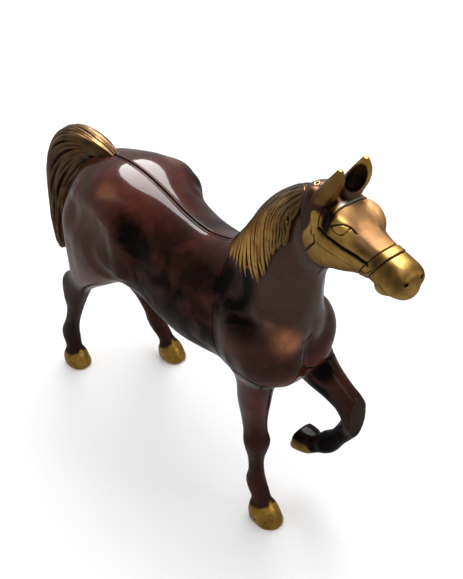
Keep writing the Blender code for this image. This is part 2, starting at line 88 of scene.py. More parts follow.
NECK = [
    (26, 184, 78, 128, 0, 24, 0.55, 1.8, 2.2),
    (37, 197, 92, 146, 0, 24.5, 0.58, 1.7, 2.2),
    (46, 208, 99, 163, 0, 22.5, 0.58, 1.7, 2.2),
    (54.5, 220.5, 101, 179, 0, 20, 0.56, 1.7, 2.2),
    (64, 235, 103, 194, 0, 17.5, 0.54, 1.7, 2.2),
    (76, 249.5, 105, 206, 0, 15.5, 0.52, 1.8, 2.2),
    (89, 261, 108, 216, 0, 14, 0.50, 1.9, 2.2),
    (100, 268, 113, 224, 0, 12.5, 0.50, 2.0, 2.2),
]
# The head's own sections run from the poll to the lips: (along the forehead, height there, along
# the jaw, height there, half width, widest, two roundnesses).
HEAD = [
    (-5, -5, -5, -24, 8.5, 0.45, 2.2, 2.2),
    (2, 0, -1, -35, 11.5, 0.42, 2.4, 2.2),
    (10, 2, 7, -41, 13.5, 0.38, 2.6, 2.2),
    (18, 3, 16, -44, 15, 0.34, 2.8, 2.2),
    (26, 2, 24, -42, 15, 0.33, 2.8, 2.1),
    (34, -1, 32, -37.5, 12.8, 0.36, 2.6, 2.1),
    (43, -2.5, 40, -31.5, 10.7, 0.40, 2.5, 2.1),
    (52, -2.5, 48, -26.5, 9.8, 0.45, 2.5, 2.2),
    (61, -2, 55, -24.5, 9.8, 0.48, 2.6, 2.4),
    (68, -2.6, 61.5, -24.3, 9.7, 0.50, 2.7, 2.8),
    (72.5, -5, 67, -22.6, 8.8, 0.50, 2.6, 2.8),
    (74.4, -9.5, 71.8, -18.8, 6.0, 0.50, 2.3, 2.3),
]
POLL = Vector((103, 0, 275))
HEAD_PITCH = 10  # degrees below level
HEAD_YAW = -3  # degrees, turned slightly to the right


def filled(rows):
    """A table with the commonest last three numbers put in where a row leaves them out."""
    return [row if len(row) > 6 else (*row, 0.50, 2.2, 2.2) for row in rows]


FORELEG_STANDING = filled([
    (84, 140, 54, 134, -17, 12),
    (83, 122, 57.5, 117, -16.5, 10.5),
    (80, 104, 57, 100, -16.5, 9.2, 0.48, 2.2, 2.1),
    (77, 86, 59, 84, -16.3, 7.4, 0.48, 2.3, 2.1),
    (76.3, 74, 60.5, 73, -16.2, 6.8, 0.48, 2.6, 2.2),
    (77.8, 65, 61, 65, -16.2, 7.7, 0.48, 2.8, 2.3),
    (76.5, 57, 61.5, 58, -16.2, 6.7, 0.48, 2.6, 2.2),
    (74.7, 48, 63.8, 48, -16.5, 4.8, 0.50, 2.3, 2.2),
    (74.7, 36, 64, 36, -16.6, 4.7, 0.50, 2.3, 2.2),
    (76.3, 27, 62.3, 28, -16.8, 5.7, 0.50, 2.4, 2.2),
    (79, 21, 63.3, 22, -17, 5.8, 0.50, 2.4, 2.2),
    (82.5, 16, 67.8, 14.5, -17.5, 5.5, 0.50, 2.4, 2.3),
    (85.5, 12.5, 67.8, 9.5, -17.8, 7.4, 0.50, 2.4, 2.4),
    (87.5, 10.5, 67.8, 6, -18, 8.6, 0.50, 2.3, 2.6),
    (91, 5, 68.3, 2.5, -18.2, 9.3, 0.52, 2.3, 2.6),
    (93.5, 0, 70, 0, -18.3, 9.6, 0.55, 2.3, 2.6),
])
FORELEG_RAISED = filled([
    (80, 148, 52, 122, 19, 12.5),
    (90.5, 135, 64, 110, 20, 12),
    (99, 124.5, 78.5, 102, 21, 9.6),
    (110, 117, 93.5, 98.5, 21.5, 7.8, 0.50, 2.3, 2.1),
    (118.5, 111.5, 103, 95.5, 22, 7.3, 0.50, 2.6, 2.2),
    (125.5, 101.5, 108.5, 91.5, 22, 7.6, 0.50, 2.8, 2.3),
    (124.5, 90.5, 107, 88, 22, 6.9, 0.50, 2.6, 2.2),
    (118, 79, 105.5, 84, 22, 5, 0.50, 2.3, 2.2),
    (109.5, 66, 99.5, 72, 21.5, 4.7, 0.50, 2.3, 2.2),
    (103.5, 55, 92, 64, 21, 5.6, 0.50, 2.4, 2.2),
    (97.5, 49, 89.5, 61, 20.5, 5.8, 0.50, 2.4, 2.2),
    (91.5, 45, 86.5, 56.5, 20, 5.3, 0.50, 2.4, 2.3),
    (86.5, 41, 84, 56, 19.5, 7, 0.50, 2.4, 2.4),
    (84, 39.5, 81.5, 56, 19.3, 8.3, 0.50, 2.3, 2.6),
    (77.5, 37, 77, 56, 19, 9, 0.50, 2.3, 2.6),
    (71.5, 35.5, 74, 55, 19, 9.3, 0.50, 2.3, 2.6),
])
# Both hind legs have the same last three numbers, row by row.
HIND_ENDS = [
    (0.50, 2.2, 2.2), (0.50, 2.2, 2.2), (0.45, 2.2, 2.2), (0.42, 2.2, 2.2), (0.42, 2.2, 2.2),
    (0.42, 2.2, 2.2), (0.45, 2.3, 2.0), (0.50, 2.6, 2.2), (0.50, 2.6, 2.2), (0.50, 2.4, 2.2),
    (0.50, 2.3, 2.2), (0.50, 2.4, 2.2), (0.50, 2.4, 2.2), (0.50, 2.4, 2.3), (0.50, 2.4, 2.4),
    (0.50, 2.3, 2.6), (0.52, 2.3, 2.6), (0.55, 2.3, 2.6),
]


def ended(rows):
    """A hind leg's rows with their last three numbers."""
    return [(*row, *end) for row, end in zip(rows, HIND_ENDS)]


HIND_LEG_RIGHT = ended([
    (-40, 168, -92, 180, -19, 9),
    (-36, 150, -106, 160, -21, 19),
    (-43, 136, -108, 141, -23, 19),
    (-58, 120, -108, 125, -24, 16.5),
    (-74, 107, -108, 113, -25, 13),
    (-86, 97, -109.5, 104, -25.5, 10),
    (-95, 88, -115, 96, -26, 7.8),
    (-101.5, 78, -123.5, 86, -26, 7.4),
    (-106.5, 69, -125, 70, -26, 6.8),
    (-111.5, 58, -124.5, 58, -26, 5.3),
    (-118, 43, -129, 43, -26, 4.8),
    (-122, 30, -135.5, 30, -26, 5.6),
    (-122, 22, -136.5, 23, -26, 5.8),
    (-121, 15, -133.5, 14, -26.3, 5.3),
    (-119, 11.5, -134, 9, -26.5, 7),
    (-117.5, 9.5, -135, 5.5, -26.5, 8),
    (-115, 4.5, -134.5, 2, -26.5, 8.6),
    (-113, 0, -133, 0, -26.5, 8.9),
])
HIND_LEG_LEFT = ended([
    (-40, 168, -92, 180, 19, 9),
    (-30, 148, -102, 160, 20, 18),
    (-34, 133, -104, 140, 20.5, 18),
    (-46, 116, -100, 124, 20, 16),
    (-60, 102, -98, 111, 19, 13),
    (-73, 91, -101, 100, 18, 10),
    (-84, 82, -107, 91, 17, 7.5),
    (-89, 74, -113, 82, 17, 7.4),
    (-91, 65, -111, 66, 18.5, 6.8),
    (-92, 56, -105, 54, 21, 5.2),
    (-90, 42, -101, 41, 24, 4.8),
    (-88, 30, -101.5, 29, 27, 5.6),
    (-85.5, 22, -99.5, 22.5, 28.8, 5.8),
    (-81, 15, -93, 14, 30, 5.3),
    (-77, 11.5, -92, 9, 30.5, 7),
    (-75, 9.5, -92.5, 5.5, 30.5, 8),
    (-72, 4.5, -92, 2, 30.5, 8.6),
    (-70, 0, -90.5, 0, 30.5, 8.9),
])
TAIL = filled([
    (-78, 195, -82, 186, 0, 5),
    (-90, 198, -90, 186.5, 0, 6.5),
    (-103, 199.5, -98, 186.5, 0, 8),
    (-117.5, 200, -107, 182, -1, 9.8),
    (-131, 196, -111.5, 175, -2, 11.5),
    (-142.5, 187.5, -114.5, 167.5, -3, 12.5),
    (-150.5, 173, -119.5, 158.5, -4.5, 12.8),
    (-154, 156, -125, 147, -6, 12.3),
    (-154, 137, -130, 134, -8, 10.5),
    (-154, 118, -134.5, 115, -10, 8.5),
    (-154, 100, -139, 98, -11, 6.5),
    (-154, 84.5, -146.5, 85, -12, 3),
])
EARS = {
    "right": filled([
        (119, 262, 102, 260, -7.5, 6),
        (119.5, 269, 104.5, 267, -8, 6.2),
        (122.3, 276, 108.5, 274, -8.3, 6),
        (126, 283, 113.8, 281.5, -8.4, 5.3),
        (128.3, 290, 119.8, 290, -8.5, 3.6),
        (127.5, 296.5, 125, 297, -8.5, 1.2, 0.50, 2.0, 2.0),
    ]),
    "left": filled([
        (123, 262, 110, 261, 4.8, 5),
        (124, 268.5, 111, 267.5, 4.9, 5.6),
        (126, 275.5, 113, 274.5, 5.3, 7.2),
        (128.7, 282.5, 116, 282.5, 6.3, 7.6),
        (129.2, 289.5, 120.3, 290, 7.9, 5.1),
        (127.7, 296.5, 125, 297, 8.7, 1.3, 0.50, 2.0, 2.0),
    ]),
}
# The hollow of each ear: centre, half lengths, nose-up pitch.
EAR_HOLLOWS = {
    "right": ((127.0, -4.6, 284), (4.4, 3.2, 9), -20),
    "left": ((127.3, 1.6, 288.4), (5.7, 5.7, 9.8), -24),
}

LEG_TABLES = {
    "foreleg_right": FORELEG_STANDING,
    "foreleg_left": FORELEG_RAISED,
    "hind_leg_right": HIND_LEG_RIGHT,
    "hind_leg_left": HIND_LEG_LEFT,
}
# Where each leg's casting is cut off the body, as a place along its table.
LEG_CUTS = {
    "foreleg_right": 2.0, "foreleg_left": 2.35, "hind_leg_right": 4.2, "hind_leg_left": 4.2,
}
SHOULDER_SEAM = (48, 150)  # x and z of a point on it
SHOULDER_LEAN = 6.8  # degrees back from upright, going up

# Muscle masses that are joined softly to the body: centre, half lengths along, across and deep,
# nose-up pitch in degrees, softness of the join.
MASSES = [
    ((70, 21, 151), (27, 13, 18), -62, 10),
    ((86, 11, 143), (14, 13, 17), 0, 5),
    ((-53, 23, 177), (17, 12.5, 13.5), 0, 8),
]
RAISED_SHOULDER = ((81, 18.5, 153), (16.5, 12, 21), 0, 6)  # on the left, over the raised leg


# ---- curves, sections and closed skins -------------------------------------------------------


def spline(rows, places):
    """The table's rows at fractional places, on a Catmull-Rom curve through its rows."""
    rows = np.asarray(rows, float)
    places = np.asarray(places, float)
    last = len(rows) - 1
    padded = np.vstack([2 * rows[0] - rows[1], rows, 2 * rows[-1] - rows[-2]])
    i = np.clip(places.astype(int), 0, last - 1)
    t = (places - i)[..., None]
    a, b, c, d = padded[i], padded[i + 1], padded[i + 2], padded[i + 3]
    return 0.5 * (
        2 * b + (c - a) * t + (2 * a - 5 * b + 4 * c - d) * t**2 + (3 * b - a - 3 * c + d) * t**3
    )


def unit(vectors):
    """Vectors of length 1."""
    return vectors / np.linalg.norm(vectors, axis=-1, keepdims=True).clip(1e-12)


def section(rows, turns, grow=0.0):
    """Points at these turns round each row: (rows, turns, 3). A turn of 0 is the front or top."""
    rows = np.atleast_2d(rows)
    front = rows[:, [0, 4, 1]]
    back = rows[:, [2, 4, 3]]
    outward = unit(front - back)
    centre = front + (back - front) * rows[:, 6:7]
    front, back = front + outward * grow, back - outward * grow
    c, s = np.cos(turns), np.sin(turns)
    ahead = (c >= 0)[None, :, None]
    end = np.where(ahead, front[:, None], back[:, None])
    power = np.where(ahead[..., 0], rows[:, 7:8], rows[:, 8:9])
    along = np.abs(c)[None] ** (2 / power)
    across = np.sign(s)[None] * np.abs(s)[None] ** (2 / power) * (rows[:, 5:6] + grow)
    points = centre[:, None] + (end - centre[:, None]) * along[..., None]
    points[..., 1] += across
    return points


def skin(rings):
    """A closed skin through rings of points, as points and triangles."""
    count, sides = rings.shape[:2]
    points = np.vstack([rings.reshape(-1, 3), rings[0].mean(0), rings[-1].mean(0)])
    lower = (np.arange(count - 1)[:, None] * sides + np.arange(sides)).ravel()
    beside = (np.arange(count - 1)[:, None] * sides + (np.arange(sides) + 1) % sides).ravel()
    sides_a = np.stack([lower, beside, beside + sides], 1)
    sides_b = np.stack([lower, beside + sides, lower + sides], 1)
    k = np.arange(sides)
    first = np.stack([np.full(sides, count * sides), (k + 1) % sides, k], 1)
    top = (count - 1) * sides
    last = np.stack([np.full(sides, count * sides + 1), top + k, top + (k + 1) % sides], 1)
    return points, np.vstack([sides_a, sides_b, first, last])


def loft(rows, first=0.0, last=None, grow=0.0, sides=96, steps=8):
    """A closed skin through a table's sections, or through some of them, grown by this much."""
    last = len(rows) - 1 if last is None else last
    places = np.linspace(first, last, int((last - first) * steps) + 2)
    turns = np.arange(sides) * (2 * math.pi / sides)
    return skin(section(spline(rows, places), turns, grow))


def turned(points, pitch=0.0, yaw=0.0, roll=0.0):
    """Points turned about the origin, nose up by pitch, to the left by yaw, in degrees."""
    turn = (
        Matrix.Rotation(math.radians(yaw), 3, "Z")
        @ Matrix.Rotation(math.radians(-pitch), 3, "Y")
        @ Matrix.Rotation(math.radians(roll), 3, "X")
    )
    return points @ np.array(turn).T


def ellipsoid(centre, radii, pitch=0.0, yaw=0.0, roll=0.0):
    falls = np.linspace(0.02, math.pi - 0.02, 32)
    turns = np.arange(64) * (math.pi / 32)
    ball = np.stack(
        [
            np.sin(falls)[:, None] * np.cos(turns),
            np.sin(falls)[:, None] * np.sin(turns),
            np.cos(falls)[:, None] + 0 * turns,
        ],
        -1,
    )
    return skin(turned(ball * radii, pitch, yaw, roll) + np.array(centre, float))


def tube(path, radii, sides=10):
    """A closed tapering tube along a path of points."""
    path = np.asarray(path, float)
    along = unit(np.gradient(path, axis=0))
    side = unit(np.cross(along, (0.3, 0.2, 1.0)))
    up = np.cross(side, along)
    turns = np.arange(sides) * (2 * math.pi / sides)
    radii = np.broadcast_to(np.asarray(radii, float), (len(path),))[:, None, None]
    rings = path[:, None] + radii * (
        np.cos(turns)[None, :, None] * side[:, None] + np.sin(turns)[None, :, None] * up[:, None]
    )
    return skin(rings)


# ---- solids as signed distances, joined softly ------------------------------------------------


def soft_min(a, b, reach):
    """The smaller of two distances, rounded off where they are within reach of each other."""
    if reach <= 0:
        return np.minimum(a, b)
    near = np.maximum(reach - np.abs(a - b), 0) / reach
    return np.minimum(a, b) - near**3 * (reach / 6)


class Field:
    """Signed distances on a grid, which solids are joined to and cut from. It makes one mesh."""

    def __init__(self, low, high, step, band):
        self.step, self.band = step, band
        self.low = np.floor(np.array(low) / step).astype(int)
        shape = np.ceil(np.array(high) / step).astype(int) - self.low + 1
        self.values = np.full(shape, band, np.float32)
        self.transform = openvdb.createLinearTransform(voxelSize=step)

    def distances(self, solid):
        points, triangles = solid
        grid = openvdb.FloatGrid.createLevelSetFromPolygons(
            points.astype(np.float32), triangles=triangles.astype(np.uint32),
            transform=self.transform, halfWidth=self.band / self.step,
        )
        values = np.empty(self.values.shape, np.float32)
        grid.copyToArray(values, ijk=tuple(int(i) for i in self.low))
        return values

    def add(self, solid, reach=0.0):
        self.values = soft_min(self.values, self.distances(solid), reach)

    def cut(self, solid, reach=0.0):
        self.values = -soft_min(-self.values, self.distances(solid), reach)

    def keep_above(self, z):
        heights = (self.low[2] + np.arange(self.values.shape[2])) * self.step
        self.values = np.maximum(self.values, (z - heights).astype(np.float32))

    def mesh(self, rounds, amount=0.5, back=0.52, whole=True):
        """The surface at distance 0, smoothed. If not whole, only its largest part."""
        grid = openvdb.FloatGrid(self.band)
        grid.transform = self.transform
        grid.copyFromArray(self.values, ijk=tuple(int(i) for i in self.low))
        points, quads = grid.convertToQuads(0.0)
        points, quads = points.astype(float), quads.astype(int)
        a, b, c, d = (points[quads[:, k]] for k in range(4))
        volume = (np.cross(a, b) * c).sum() + (np.cross(a, c) * d).sum()
        quads = quads if volume > 0 else quads[:, ::-1]
        if not whole:
            points, quads = largest(points, quads)
        return relax(points, edges_of(quads), 1.0, rounds, amount, back), quads


# ---- meshes in arrays --------------------------------------------------------------------------


def edges_of(faces):
    """Each edge of the faces, once."""
    sides = faces.shape[1]
    pairs = np.concatenate([faces[:, [k, (k + 1) % sides]] for k in range(sides)])
    return np.unique(np.sort(pairs, axis=1), axis=0)


def relax(points, edges, weight, rounds, amount=0.5, back=0.0):
    """Smooths points towards their neighbours. With back, each step is followed by one outwards."""
    count = len(points)
    degree = np.bincount(edges.ravel(), minlength=count)[:, None].clip(1)
    weight = np.broadcast_to(weight, (count,))[:, None]
    for _ in range(rounds):
        for step in (amount, -back) if back else (amount,):
            total = np.stack(
                [
                    np.bincount(edges[:, 0], points[edges[:, 1], k], count)
                    + np.bincount(edges[:, 1], points[edges[:, 0], k], count)
                    for k in range(3)
                ],
                1,
            )
            points = points + (total / degree - points) * weight * step
    return points


def normals_of(points, faces):
    """Vertex normals of a mesh of quads or triangles."""
    normals = np.zeros_like(points)
    crosses = np.cross(
        points[faces[:, 2]] - points[faces[:, 0]], points[faces[:, -1]] - points[faces[:, 1]]
    )
    for k in range(faces.shape[1]):
        for axis in range(3):
            normals[:, axis] += np.bincount(faces[:, k], crosses[:, axis], len(points))
    return unit(normals)


def resample(path, spacing):
    """Points along a smooth curve through a path, about this far apart."""
    path = np.asarray(path, float)
    length = np.linalg.norm(np.diff(path, axis=0), axis=1).sum()
    return spline(path, np.linspace(0, len(path) - 1, max(int(length / spacing), 2) + 1))


def near_path(points, path, reach):
    """How far each point is from a path. Points further off than reach get the distance reach."""
    distance = np.full(len(points), float(reach))
    inside = np.flatnonzero(
        ((points > path.min(0) - reach) & (points < path.max(0) + reach)).all(1)
    )
    for a, b in zip(path, path[1:]):
        d = b - a
        t = np.clip(((points[inside] - a) @ d) / max(d @ d, 1e-9), 0, 1)
        gap = np.linalg.norm(points[inside] - a - t[:, None] * d, axis=1)
        better = gap < distance[inside]
        distance[inside[better]] = gap[better]
    return distance


def snapped(path, points, spacing=1.5):
    """A path brought onto the nearest points of a surface, and evened out."""
    path = resample(path, spacing)
    for _ in range(2):
        path = np.array([points[((points - p) ** 2).sum(1).argmin()] for p in path])
        path[1:-1] = (path[:-2] + 2 * path[1:-1] + path[2:]) / 4
    return path


def hump(distance, width):
    """1 at no distance and 0 from width on, smooth at both ends."""
    return (1 - np.clip(distance / width, 0, 1) ** 2) ** 2


def ease(value, low, high):
    """0 below low and 1 above high, smooth between them."""
    t = np.clip((value - low) / (high - low), 0, 1)
    return t * t * (3 - 2 * t)


def blob(points, centre, radii, pitch=0.0):
    """A soft spot, 1 at its centre."""
    turn = np.array(Matrix.Rotation(math.radians(-pitch), 3, "Y"))
    local = ((points - np.array(centre, float)) @ turn) / radii
    return np.exp(-(local**2).sum(1))


def body_blob(points, centre, radii, pitch):
    """A soft spot on the body, and its mirror image on the right if it is on the left."""
    spot = blob(points, centre, radii, pitch)
    if centre[1] > 0:
        spot = spot + blob(points * MIRROR, centre, radii, pitch)
    return spot


def folded(points):
    """Points brought over to the right side of the horse."""
    return points * (1, 0, 1) - np.abs(points) * (0, 1, 0)


def raise_mask(masks, key, share):
    masks[key] = np.maximum(masks[key], share)


def home(points):
    """From the tables' millimetres to the frame's metres."""
    return (np.asarray(points, float) + SHIFT) * UNIT


def place_piece(name, points, faces, finish, replaces, masks):
    """A finished piece of the statue, in the frame, standing for its CAD nodes."""
    mesh = bpy.data.meshes.new(name)
    mesh.from_pydata(home(points).tolist(), [], [list(map(int, f)) for f in faces])
    mesh.validate()
    for key, values in masks.items():
        layer = mesh.attributes.new(key, "FLOAT", "POINT")
        layer.data.foreach_set("value", np.asarray(values, np.float32))
    mesh.shade_smooth()
    mesh.set_sharp_from_angle(angle=math.radians(SHARP_ANGLE))
    mesh.materials.append(finish)
    obj = bpy.data.objects.new(name, mesh)
    bpy.context.scene.collection.objects.link(obj)
    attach(obj, "root")
    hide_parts(*replaces)


def bmesh_from(points, faces):
    """A bmesh of plain arrays, by way of a mesh that is thrown away."""
    bm = bmesh.new()
    mesh = bpy.data.meshes.new("working")
    mesh.from_pydata(points.tolist(), [], faces.tolist())
    bm.from_mesh(mesh)
    bpy.data.meshes.remove(mesh)
    return bm


def arrays_of(bm):
    """The points and the faces of a bmesh, which is freed."""
    bm.verts.index_update()
    points = np.array([v.co for v in bm.verts])
    faces = [[v.index for v in f.verts] for f in bm.faces]
    bm.free()
    return points, faces


# ---- materials ---------------------------------------------------------------------------------


class Nodes:
    """Adds nodes to the tree of a material or the world."""

    def __init__(self, owner):
        owner.use_nodes = True
        self.tree = owner.node_tree

    def node(self, kind, inputs=None, **settings):
        made = self.tree.nodes.new(kind)
        for key, value in settings.items():
            setattr(made, key, value)
        for key, value in (inputs or {}).items():
            if isinstance(value, bpy.types.NodeSocket):
                self.tree.links.new(value, made.inputs[key])
            else:
                made.inputs[key].default_value = value
        return made

    def fit(self, value, low, high, to_low=0.0, to_high=1.0):
        inputs = {
            "Value": value, "From Min": low, "From Max": high, "To Min": to_low, "To Max": to_high,
        }
        made = self.node("ShaderNodeMapRange", inputs, interpolation_type="SMOOTHSTEP")
        return made.outputs["Result"]

    def math(self, operation, a, b, clamp=False):
        made = self.node("ShaderNodeMath", {0: a, 1: b}, operation=operation, use_clamp=clamp)
        return made.outputs[0]


class Recipe(Nodes):
    """One material. Numbers that are the same all over go on the shader's own sockets."""

    def __init__(self, name, **shader):
        self.material = bpy.data.materials.new(name)
        super().__init__(self.material)
        self.shader = self.tree.nodes["Principled BSDF"]
        for key, value in shader.items():
            self.shader.inputs[key.replace("_", " ")].default_value = value
        self.where = self.node("ShaderNodeTexCoord").outputs["Object"]

    def mask(self, name):
        return self.node("ShaderNodeAttribute", attribute_name=name).outputs["Fac"]

    def noise(self, scale, detail, roughness, distortion=0.0):
        inputs = {
            "Vector": self.where, "Scale": scale, "Detail": detail,
            "Roughness": roughness, "Distortion": distortion,
        }
        return self.node("ShaderNodeTexNoise", inputs).outputs["Fac"]

    def mix(self, share, a, b):
        made = self.node("ShaderNodeMix", data_type="RGBA")
        for key, value in (("Factor_Float", share), ("A_Color", a), ("B_Color", b)):
            socket = next(s for s in made.inputs if s.identifier == key)
            if isinstance(value, bpy.types.NodeSocket):
                self.tree.links.new(value, socket)
            elif key == "Factor_Float":
                socket.default_value = value
            else:
                socket.default_value = (*value[:3], 1.0)
        return next(s for s in made.outputs if s.identifier == "Result_Color")

    def tinted(self, colour, share=1.0, **tints):
        """A colour with others laid over it in turn, each where the mask of its name says."""
        for name, tint in tints.items():
            place = self.mask(name)
            place = self.math("MULTIPLY", place, share) if share != 1.0 else place
            colour = self.mix(place, colour, tint)
        return colour

    def bump(self, height, strength, distance, below=None):
        inputs = {"Height": height, "Strength": strength, "Distance": distance}
        if below is not None:
            inputs["Normal"] = below
        return self.node("ShaderNodeBump", inputs).outputs["Normal"]

    def set(self, **sockets):
        for key, value in sockets.items():
            self.tree.links.new(value, self.shader.inputs[key.replace("_", " ")])
        return self.material


def lacquered_bronze():
    r = Recipe(
        "lacquered_bronze_looks", Coat_Roughness=0.085, Coat_IOR=1.28, Specular_IOR_Level=0.03,
    )
    clouds = r.fit(r.noise(22, 5, 0.6, 0.6), 0.36, 0.68)
    fine = r.fit(r.noise(160, 4, 0.6), 0.35, 0.7)
    colour = r.mix(clouds, (0.026, 0.0045, 0.0025), (0.092, 0.019, 0.009))
    colour = r.mix(r.math("MULTIPLY", fine, 0.4), colour, (0.022, 0.0045, 0.003))
    tint_breakup = r.fit(r.noise(34, 5, 0.65, 0.8), 0.3, 0.62, 0.35, 1.0)
    # Darker legs, a tone of wear with painted highlights, and a copper painted reflection, each
    # broken up by noise.
    colour = r.tinted(
        colour, tint_breakup,
        leg=(0.024, 0.010, 0.006), worn=(0.050, 0.027, 0.018), glow=(0.36, 0.130, 0.055),
    )
    # The dark mask holds the seams and cast lines, and painted shade in patches on the body and
    # legs.
    ragged = r.fit(r.noise(42, 5, 0.6, 0.8), 0.3, 0.62, 0.6, 1.4)
    dark = r.math("MULTIPLY", r.mask("dark"), ragged, True)
    colour = r.mix(dark, colour, (0.0022, 0.0010, 0.0009))
    gold = r.math("MULTIPLY", r.mask("gold"), r.fit(r.noise(240, 4, 0.65), 0.28, 0.46), True)
    patches = r.fit(r.noise(120, 5, 0.65), 0.35, 0.7)
    colour = r.mix(gold, colour, r.mix(patches, (0.50, 0.29, 0.055), (0.24, 0.125, 0.022)))
    dull = r.math("MAXIMUM", dark, r.math("MULTIPLY", r.mask("leg"), 0.72))
    coat = r.fit(dull, 0.0, 1.0, 1.0, 0.12)
    rough = r.fit(r.noise(60, 3, 0.5), 0.3, 0.7, 0.30, 0.42)
    normal = r.bump(r.noise(55, 3, 0.5), 0.12, 0.0006)
    normal = r.bump(r.noise(420, 3, 0.6), 0.05, 0.0002, normal)
    return r.set(
        Base_Color=colour, Roughness=rough, Metallic=gold, Coat_Weight=coat,
        Normal=normal, Coat_Normal=r.bump(r.noise(38, 3, 0.5), 0.11, 0.0008),
    )


def gold_brass():
    r = Recipe("gold_brass_looks", Metallic=1.0)
    clouds = r.fit(r.noise(60, 5, 0.6, 0.4), 0.36, 0.66)
    colour = r.mix(clouds, (0.64, 0.385, 0.100), (0.38, 0.20, 0.034))
    colour = r.tinted(
        colour,
        copper=(0.43, 0.235, 0.10), solder=(0.26, 0.225, 0.19), lacquer=(0.075, 0.032, 0.017),
    )
    spots = r.fit(r.noise(300, 4, 0.7), 0.58, 0.75)
    colour = r.mix(r.math("MULTIPLY", spots, 0.5), colour, (0.09, 0.05, 0.015))
    colour = r.tinted(colour, dark=(0.012, 0.008, 0.005))
    rough = r.fit(r.noise(90, 4, 0.6), 0.3, 0.7, 0.34, 0.50)
    rough = r.math("ADD", rough, r.math("MULTIPLY", r.mask("copper"), 0.20))
    normal = r.bump(r.noise(300, 4, 0.6), 0.14, 0.0003)
    normal = r.bump(r.noise(70, 3, 0.5), 0.2, 0.0006, normal)
    return r.set(Base_Color=colour, Roughness=rough, Normal=normal)


def strand_brass(name, light, shade):
    """The finish of the mane or the tail."""
    r = Recipe(name, Metallic=1.0)
    clouds = r.fit(r.noise(70, 5, 0.6, 0.4), 0.36, 0.66)
    colour = r.mix(clouds, light, shade)
    colour = r.tinted(colour, brown=(0.040, 0.016, 0.007), dark=(0.010, 0.006, 0.004))
    rough = r.fit(r.noise(120, 4, 0.6), 0.3, 0.7, 0.28, 0.45)
    normal = r.bump(r.noise(350, 4, 0.6), 0.15, 0.0003)
    return r.set(Base_Color=colour, Roughness=rough, Normal=normal)


def dowel_brass():
    r = Recipe("dowel_brass_looks", Metallic=1.0)
    colour = r.mix(r.fit(r.noise(400, 4, 0.6), 0.35, 0.7), (0.50, 0.38, 0.16), (0.36, 0.25, 0.10))
    colour = r.tinted(colour, dark=(0.02, 0.012, 0.008))
    rough = r.fit(r.noise(600, 3, 0.6), 0.3, 0.7, 0.28, 0.42)
    return r.set(Base_Color=colour, Roughness=rough)


def pale_floor():
    r = Recipe("pale_floor", Roughness=0.6)
    colour = r.mix(r.fit(r.noise(3, 2, 0.5), 0.3, 0.7), (0.93, 0.93, 0.93), (0.95, 0.95, 0.95))
    return r.set(Base_Color=colour)


# ---- the body and legs -------------------------------------------------------------------------


def seam_plane():
    """A point of the shoulder seam's plane, and its normal, forward."""
    x, z = SHOULDER_SEAM
    lean = math.radians(SHOULDER_LEAN)
    return np.array((x, 0.0, z)), np.array((math.cos(lean), 0, math.sin(lean)))


def poll_plane():
    """A point of the plane between neck and head, and its normal, towards the head."""
    x, z, back_x, back_z = NECK[-1][:4]
    across = unit(np.array((x - back_x, 0, z - back_z), float))
    return np.array(((x + back_x) / 2, 0, (z + back_z) / 2)), np.array((across[2], 0, -across[0]))


def middles(rows, places):
    """Points on the middle line of a table's sections."""
    at = spline(rows, places)
    return (at[:, [0, 4, 1]] + at[:, [2, 4, 3]]) / 2


BATCH = 20000  # points handled at once, to spare memory


def limb_places(points, rows):
    """For each point, the nearest place along a limb, how far off its middle line it is, and the
    turn round it: 0 in front, a quarter to the left and a half behind."""
    places = np.linspace(0, len(rows) - 1, (len(rows) - 1) * 6 + 1)
    line = middles(rows, places)
    at = spline(rows, places)
    fronts = unit(at[:, [0, 4, 1]] - at[:, [2, 4, 3]])
    place = np.empty(len(points))
    off = np.empty(len(points))
    turn = np.empty(len(points))
    for start in range(0, len(points), BATCH):
        batch = slice(start, start + BATCH)
        part = points[batch]
        gaps = ((part[:, None] - line[None]) ** 2).sum(2)
        k = gaps.argmin(1)
        place[batch] = places[k]
        off[batch] = np.sqrt(gaps[np.arange(len(part)), k])
        away = part - line[k]
        turn[batch] = np.arctan2(away[:, 1], (away * fronts[k]).sum(1))
    return place, off, turn


# How softly the neck and the legs join the trunk.
NECK_REACH, HIND_REACH, FORE_REACH = 7, 7, 5


def body_field():
    """The trunk, neck and legs, joined and cut off flat at the ground."""
    field = Field(*GRIDS["body"])
    field.add(loft(TRUNK))
    field.add(loft(NECK), NECK_REACH)
    for (x, y, z), radii, pitch, reach in MASSES:
        for side in (1, -1):
            field.add(ellipsoid((x, y * side, z), radii, pitch), reach)
    centre, radii, pitch, reach = RAISED_SHOULDER
    field.add(ellipsoid(centre, radii, pitch), reach)
    for name, rows in LEG_TABLES.items():
        field.add(loft(rows), HIND_REACH if "hind" in name else FORE_REACH)
    field.keep_above(0.0)
    return field


BISECT_REACH = 2.5  # how far from its plane a cut looks for faces
WELD = 1e-5  # how near to a plane a point counts as on it


def bisect(bm, point, normal, keep):
    """Cuts the faces near a plane along it, where keep says yes to a face's first corner."""
    point, normal = Vector(point), Vector(normal).normalized()
    faces = [
        f for f in bm.faces
        if abs((f.verts[0].co - point).dot(normal)) < BISECT_REACH and keep(f.verts[0].co)
    ]
    geometry = dict.fromkeys(faces)  # in the faces' order, so that each run gives the same mesh
    for f in faces:
        geometry.update(dict.fromkeys([*f.edges, *f.verts]))
    bmesh.ops.bisect_plane(bm, geom=list(geometry), dist=WELD, plane_co=point, plane_no=normal)


def seam_profile(distance, width, depth, lip):
    """How far a seam's surface drops, towards a plane that is this far away, between low lips."""
    return lip * hump(distance - width * 1.35, width * 0.8) - depth * hump(distance, width)


